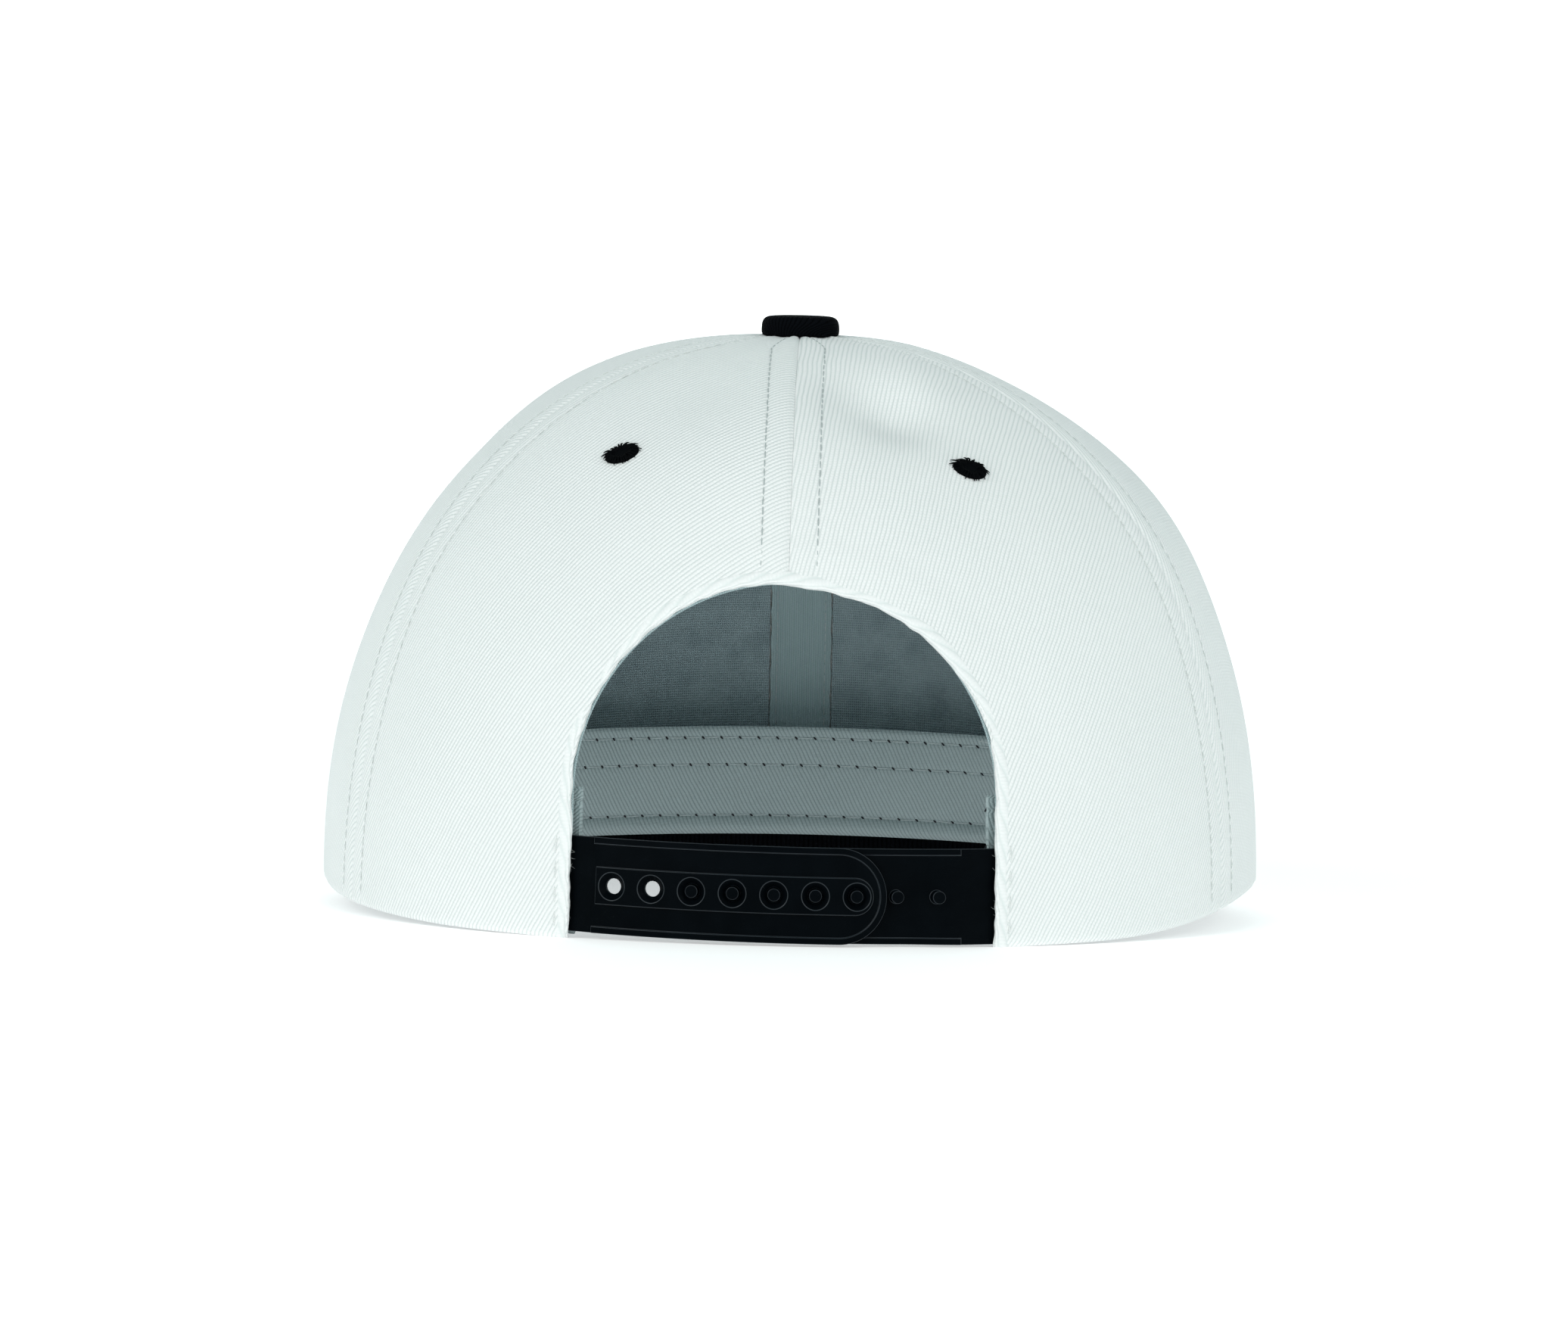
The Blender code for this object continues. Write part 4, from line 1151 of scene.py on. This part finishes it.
def make_buckrams():
    for side, sign in SIDES:
        start, end = sorted((sign * SEAM_ANGLES[2], sign * SEAM_ANGLES[3]))
        top = float(rise_at_reach((start + end) / 2, BUCKRAM_TOP_REACH))
        rise = np.linspace(BUCKRAM_FOOT_RISE, top, 80)[:, None]
        low = beside_seam(start, rise, TAPE_WIDTH / 2 + GAP)
        high = beside_seam(end, rise, -TAPE_WIDTH / 2 - GAP)
        angle = low + (high - low) * np.linspace(0.0, 1.0, 40)[None, :]
        sag = 0.2 * MM * np.sin(np.radians(angle * 8.0 + rise * 5.0))
        outer = crown_at(angle, rise, INSIDE_DEPTH)
        inner = crown_at(angle, rise, INSIDE_DEPTH + BUCKRAM_THICKNESS + sag)
        mesh = sheet_mesh(f"buckram_{side}", outer, inner, flat_cloth(inner))
        add_piece(f"buckram_{side}_mesh", mesh, buckram, [f"buckram_{side}"])


def make_facing():
    """The strip that lines the opening inside."""
    foot = strap_lift(-opening_end() - STRAP_TAB) + STRAP_HEIGHT + GAP
    inset = 0.4 * MM
    rings = []
    for share in np.linspace(0.0, 1.0, 9):
        radius = OPENING_RADIUS + inset + (FACING_WIDTH - inset) * share
        rings.append(on_crown(*arch_points(radius, float(foot), 120, 10)))
    angle, rise = np.stack(rings, axis=1)
    outer = crown_at(angle, rise, INSIDE_DEPTH + 0.1 * MM)
    inner = crown_at(angle, rise, INSIDE_DEPTH + FACING_THICKNESS)
    mesh = sheet_mesh("opening_facing", outer, inner, flat_cloth(inner))
    add_piece("opening_facing_cloth", mesh, white_tape, ["opening_facing"])


# Peak

def opening_end():
    return RIM_WIDTH / 2 * math.asin(2 * OPENING_RADIUS / RIM_WIDTH)


def peak_surface(share, out):
    """Points of the peak's upper face: share runs from -1 to 1 across it, out from 0 at the head to 1."""
    share, out = np.broadcast_arrays(np.asarray(share, float), np.asarray(out, float))
    corner = crown(180.0 - PEAK_HALF_ANGLE, 0.0)
    tip = RIM_LENGTH / 2 + PEAK_REACH
    angle = 180.0 - share * PEAK_HALF_ANGLE
    inner = crown(angle, 0.0) - crown_normal(angle, np.zeros_like(angle)) * PEAK_TUCK
    turn = share * math.pi / 2
    power = 2 / PEAK_ROUNDNESS
    outer = np.stack([
        np.sign(share) * PEAK_WIDTH / 2 * np.abs(np.sin(turn)) ** power,
        corner[1] + (tip - corner[1]) * np.abs(np.cos(turn)) ** power,
        inner[..., 2],
    ], axis=-1)
    place = inner + (outer - inner) * out[..., None]
    past_rim = np.maximum(0.0, np.linalg.norm(place - inner, axis=-1) - PEAK_TUCK) / PEAK_REACH
    place[..., 2] -= GAP + (PEAK_DROP + PEAK_SAG * np.sin(turn) ** 2) * past_rim
    return place


def make_peak():
    share = np.linspace(-1.0, 1.0, 141)[None, :]
    out = np.concatenate([np.linspace(0.0, 0.97, 40), PEAK_EDGE_SHARES])[:, None]
    top = peak_surface(share, out)
    reach = np.linalg.norm(peak_surface(share, 1.0) - peak_surface(share, 0.0), axis=-1)
    from_edge = (1 - out) * reach
    half = PEAK_THICKNESS / 2
    round_off = half * (1 - np.sqrt(np.clip(1 - (1 - np.clip(from_edge / half, 0, 1)) ** 2, 0, 1)))
    groove = PEAK_GROOVE * bell(from_edge, PEAK_EDGE_ROW, 0.5 * MM)
    upper = top.copy()
    upper[..., 2] -= round_off * 0.96 + groove
    lower = top.copy()
    lower[..., 2] += -PEAK_THICKNESS + round_off * 0.96
    lower[..., 2] -= PEAK_SEAM_SWELL * (1 - blend(out, 0.0, 0.25))
    mesh = sheet_mesh("peak", upper, lower, flat_cloth(top))
    add_piece("peak_cover", mesh, black_twill, ["peak"])
    parts = []
    for row in range(PEAK_ROWS):
        inset = PEAK_EDGE_ROW + row * PEAK_ROW_PITCH
        shares = np.linspace(-0.97, 0.97, 300)
        span = np.linalg.norm(peak_surface(shares, 1.0) - peak_surface(shares, 0.0), axis=-1)
        out_row = 1 - inset / span
        keep = out_row * span > PEAK_TUCK + 2.0 * MM
        shares, out_row = shares[keep], out_row[keep]
        points = peak_surface(shares, out_row)
        points[:, 2] -= 0.05 * MM
        up = interpolated(points, np.tile([0.0, 0.0, 1.0], (len(points), 1)))
        parts.append(stitch_row(
            points, up, PEAK_STITCH_PITCH, PEAK_STITCH_LENGTH, PEAK_THREAD_RADIUS, 80 + row
        ))
    add_parts("peak_stitches", parts, black_thread)


# Snap strap

def strap_lift(along):
    """The height of the strap's lower edge at lengths along the rim."""
    return rim_lift(rim_angle(along)) + STRAP_FOOT - STRAP_SLOPE * along


def strap_outline(start, end, bottom, top, steps=40):
    """A strip from start to a round tip at end."""
    radius = (top - bottom) / 2
    middle = (top + bottom) / 2
    side = math.copysign(1.0, end - start)
    arc = [math.pi * (step / steps - 0.5) for step in range(steps + 1)]
    centre = end - side * radius
    tip = [(centre + side * radius * math.cos(turn), middle + radius * math.sin(turn)) for turn in arc]
    return [(start, bottom)] + tip + [(start, top)]


def ridge_outline(start, end, height, width):
    """The rim of a strip: along one edge, round the tip and back along the other."""
    outer = strap_outline(start, end, 0.0, height)
    side = math.copysign(1.0, end - start)
    inner = strap_outline(start, end - side * width, width, height - width)
    return outer + inner[::-1]


def flat_prism(outline, near, far):
    """An outline of (x, z) points drawn out along Y."""
    solid = bmesh.new()
    face = solid.faces.new([solid.verts.new((x, near, z)) for x, z in outline])
    drawn = bmesh.ops.extrude_face_region(solid, geom=[face])["geom"]
    moved = [part for part in drawn if isinstance(part, bmesh.types.BMVert)]
    bmesh.ops.translate(solid, verts=moved, vec=(0.0, far - near, 0.0))
    bmesh.ops.recalc_face_normals(solid, faces=solid.faces)
    return solid


def round_tool(near_radius, far_radius, near, far, along, height, sides=40):
    """A cylinder or cone across the strap, from depth near to depth far."""
    solid = bmesh.new()
    turn = Matrix.Rotation(-math.pi / 2, 4, "X")
    place = Matrix.Translation((along, (near + far) / 2, height)) @ turn
    bmesh.ops.create_cone(
        solid, cap_ends=True, segments=sides, radius1=near_radius, radius2=far_radius, depth=far - near,
        matrix=place,
    )
    bmesh.ops.recalc_face_normals(solid, faces=solid.faces)
    return solid


def temporary(solid, name="tool"):
    mesh = bpy.data.meshes.new(name)
    solid.to_mesh(mesh)
    solid.free()
    thing = bpy.data.objects.new(name, mesh)
    bpy.context.scene.collection.objects.link(thing)
    return thing


def add_boolean(body, operation, tool):
    modifier = body.modifiers.new("shape", "BOOLEAN")
    modifier.object = tool
    modifier.operation = operation
    modifier.solver = "EXACT"


def evaluated_mesh(body):
    """A new mesh of an object with its modifiers applied."""
    bpy.context.view_layer.update()
    graph = bpy.context.evaluated_depsgraph_get()
    return bpy.data.meshes.new_from_object(body.evaluated_get(graph))


def combined(base, tools, bevel):
    """Applies (operation, tool) pairs and a bevel to a solid, and returns the mesh."""
    body = temporary(base, "body")
    body.data.materials.append(plastic)
    body.data.materials.append(wear_and_highlight_plastic)
    helpers = []
    for operation, tool in tools:
        helpers.append(temporary(tool))
        add_boolean(body, operation, helpers[-1])
    soften = body.modifiers.new("soften", "BEVEL")
    soften.width = bevel
    soften.segments = 2
    soften.limit_method = "ANGLE"
    soften.angle_limit = math.radians(35.0)
    soften.use_clamp_overlap = False
    # The bevel faces take the second material: a lighter colour that is painted highlight along the edges,
    # with some edge wear.
    soften.material = 1
    mesh = evaluated_mesh(body)
    for helper in helpers + [body]:
        bpy.data.objects.remove(helper, do_unlink=True)
    return mesh


def bend_strap(name, mesh, depth_at, nodes):
    """Cuts a flat strap into short stretches and bends it round the rim."""
    strap = bmesh.new()
    strap.from_mesh(mesh)
    reach = max(abs(vertex.co.x) for vertex in strap.verts)
    station = 1.5 * MM
    for step in range(-int(reach / station), int(reach / station) + 1):
        bmesh.ops.bisect_plane(
            strap, geom=strap.verts[:] + strap.edges[:] + strap.faces[:],
            plane_co=(step * station, 0.0, 0.0), plane_no=(1.0, 0.0, 0.0), dist=0.000001,
        )
    places = np.array([vertex.co[:] for vertex in strap.verts])
    along, depth, height = places.T
    angle = rim_angle(along)
    bent = crown_at(angle, rise_at_height(angle, strap_lift(along) + height), depth_at(along) + depth)
    for vertex, place in zip(strap.verts, bent):
        vertex.co = place
    strap.to_mesh(mesh)
    strap.free()
    mesh.shade_smooth()
    mesh.set_sharp_from_angle(angle=math.radians(50.0))
    # Faces that carry the lighter edge colour, painted highlight with some edge wear, keep it across the
    # material reset.
    worn = np.zeros(len(mesh.polygons), dtype=np.int32)
    mesh.polygons.foreach_get("material_index", worn)
    piece = add_piece(name, mesh, plastic, nodes)
    mesh.materials.append(wear_and_highlight_plastic)
    mesh.polygons.foreach_set("material_index", worn)
    weight = piece.modifiers.new("flat faces", "WEIGHTED_NORMAL")
    weight.keep_sharp = True
    return piece


def make_left_strap():
    middle = STRAP_HEIGHT / 2
    start = -opening_end() - STRAP_TAB
    base = flat_prism(strap_outline(start, STRAP_OVERLAP_END, 0.0, STRAP_HEIGHT), 0.0, STRAP_THICKNESS)
    band_end = STRAP_OVERLAP_END - BAND_MARGIN
    band = strap_outline(-BAND_START, band_end, middle - BAND_HEIGHT / 2, middle + BAND_HEIGHT / 2)
    ridge = ridge_outline(-RIDGE_START, STRAP_OVERLAP_END, STRAP_HEIGHT, RIDGE_WIDTH)
    tools = [
        ("UNION", flat_prism(band, -BAND_RELIEF, 0.5 * STRAP_THICKNESS)),
        ("UNION", flat_prism(ridge, -RIDGE_RELIEF, 0.4 * STRAP_THICKNESS)),
    ]
    for index in range(SNAP_COUNT):
        along = FIRST_SNAP - index * SNAP_PITCH
        hole = HOLE_DIAMETER / 2
        sink = COUNTERSINK_DIAMETER / 2
        tools.append(("DIFFERENCE", round_tool(hole, hole, -1.0 * MM, 2.0 * MM, along, middle)))
        cone = round_tool(sink + 0.25 * MM, hole, -BAND_RELIEF - 0.2 * MM, 0.75 * MM, along, middle)
        tools.append(("DIFFERENCE", cone))
    mesh = combined(base, tools, STRAP_BEVEL)
    bend_strap("strap_left_moulded", mesh, lambda along: INSIDE_DEPTH + 0.0 * along, ["strap_left"])


def make_right_strap():
    middle = STRAP_HEIGHT / 2
    start = opening_end() + STRAP_TAB
    base = flat_prism(strap_outline(start, -INNER_STRAP_END, 0.0, STRAP_HEIGHT), 0.0, STRAP_THICKNESS)
    ridge = ridge_outline(36.5 * MM, -INNER_STRAP_END, STRAP_HEIGHT, RIDGE_WIDTH)
    tools = [("UNION", flat_prism(ridge, -0.22 * MM, 0.4 * STRAP_THICKNESS))]
    tip = -(GAP + STRAP_THICKNESS + BAND_RELIEF * 0.6)
    for index in range(SNAP_COUNT):
        along = FIRST_SNAP + (SPARE_SNAPS - index) * SNAP_PITCH
        peg = PEG_DIAMETER / 2
        tools.append(("UNION", round_tool(peg * 0.94, peg, tip, STRAP_THICKNESS / 2, along, middle)))
    mesh = combined(base, tools, STRAP_BEVEL)

    def depth_at(along):
        return STRAP_BEHIND + (INSIDE_DEPTH - STRAP_BEHIND) * blend(along, BEND_START, BEND_END)

    bend_strap("strap_right_moulded", mesh, depth_at, ["strap_right"])


# Stage, lights and camera

PICTURE_WIDTH = 2072
SENSOR = 36.0
FOCAL_PIXELS = 7524.0  # focal length in the picture's pixels
CAMERA_DISTANCE = 1.192  # from the cap's axis
CAMERA_HEIGHT = 0.143  # above the rim's plane
CAMERA_YAW = 1.0
CAMERA_PITCH = 4.73
CAMERA_ROLL = 1.1
AXIS_PIXEL = 1049.0  # column of the picture where the cap's axis lies
FLOOR_GLOW = 0.42
BACKDROP_GLOW = 0.85


def make_camera():
    yaw = math.radians(CAMERA_YAW)
    pan = math.atan((PICTURE_WIDTH / 2 - AXIS_PIXEL) / FOCAL_PIXELS)
    pitch = math.radians(CAMERA_PITCH)
    place = Vector((CAMERA_DISTANCE * math.sin(yaw), -CAMERA_DISTANCE * math.cos(yaw), CAMERA_HEIGHT))
    heading = yaw - pan
    level = math.cos(pitch)
    look = Vector((-math.sin(heading) * level, math.cos(heading) * level, -math.sin(pitch)))
    turn = look.to_track_quat("-Z", "Y").to_matrix().to_4x4()
    camera = bpy.data.objects.new("camera", bpy.data.cameras.new("camera"))
    bpy.context.scene.collection.objects.link(camera)
    camera.data.sensor_width = SENSOR
    camera.data.lens = FOCAL_PIXELS * SENSOR / PICTURE_WIDTH
    roll = Matrix.Rotation(math.radians(CAMERA_ROLL), 4, "Z")
    camera.matrix_world = STAND @ Matrix.Translation(place) @ turn @ roll
    bpy.context.scene.camera = camera


def make_stage():
    """A pale floor that curves up into a backdrop."""
    half_width, back, radius, height = 3.0, 1.6, 1.0, 2.6
    profile = [(-2.2, 0.0), (back, 0.0)]
    for step in range(1, 25):
        turn = math.pi / 2 * step / 24
        profile.append((back + radius * math.sin(turn), radius * (1 - math.cos(turn))))
    profile.append((back + radius, height))
    points = [(x, y, z) for y, z in profile for x in (-half_width, half_width)]
    faces = [(2 * row, 2 * row + 1, 2 * row + 3, 2 * row + 2) for row in range(len(profile) - 1)]
    mesh = new_mesh("stage", np.array(points), faces)
    nodes = Nodes("pale_floor", 0.9)
    vector, _, away, _ = nodes.coordinates("Object")
    grain = nodes.noise(vector, 3.0, 2.0)
    nodes.colour(nodes.ramp(grain, ((0.3, (0.90, 0.905, 0.905)), (0.7, (0.92, 0.925, 0.925)))))
    nodes.shader.inputs["Emission Color"].default_value = (1.0, 1.0, 1.0, 1.0)
    glow = nodes.tree.nodes.new("ShaderNodeMapRange")
    nodes.put(away, glow.inputs["Value"])
    glow.inputs["From Min"].default_value = 0.3
    glow.inputs["From Max"].default_value = 2.0
    glow.inputs["To Min"].default_value = FLOOR_GLOW
    glow.inputs["To Max"].default_value = BACKDROP_GLOW
    nodes.put(glow.outputs[0], nodes.shader.inputs["Emission Strength"])
    stage = bpy.data.objects.new("stage", mesh)
    mesh.materials.append(nodes.material)
    bpy.context.scene.collection.objects.link(stage)


WORLD_COLOUR = (0.76, 0.98, 0.98, 1.0)
WORLD_STRENGTH = 0.41
WARM = (1.0, 0.97, 0.955)
# columns: name, place, point it faces, side in metres, power in watts, colour
STUDIO_LIGHTS = (
    ("key", (-1.35, -1.65, 1.12), (0.0, 0.0, 0.05), 1.4, 20.8, WARM),
    ("fill", (1.35, -1.65, 1.00), (0.0, 0.0, 0.05), 1.4, 15.7, WARM),
    ("top", (0.0, 0.2, 2.2), (0.0, 0.0, 0.0), 1.8, 0.6, (1.0, 1.0, 1.0)),
)


def make_lights():
    scene = bpy.context.scene
    scene.view_settings.view_transform = "Standard"
    scene.view_settings.look = "None"
    scene.world = bpy.data.worlds.new("studio")
    scene.world.use_nodes = True
    background = scene.world.node_tree.nodes["Background"]
    background.inputs["Color"].default_value = WORLD_COLOUR
    background.inputs["Strength"].default_value = WORLD_STRENGTH
    for name, place, aim, side, power, colour in STUDIO_LIGHTS:
        data = bpy.data.lights.new(name, "AREA")
        data.shape = "RECTANGLE"
        data.size = side
        data.size_y = side
        data.energy = power
        data.color = colour
        light = bpy.data.objects.new(name, data)
        scene.collection.objects.link(light)
        light.location = place
        light.rotation_euler = (Vector(aim) - Vector(place)).to_track_quat("-Z", "Y").to_euler()


def main():
    make_camera()
    make_stage()
    make_lights()
    make_crown()
    make_hem()
    make_edge_stitches()
    make_lint()
    make_button()
    make_sweatband()
    make_tapes()
    make_buckrams()
    make_facing()
    make_peak()
    make_left_strap()
    make_right_strap()


main()
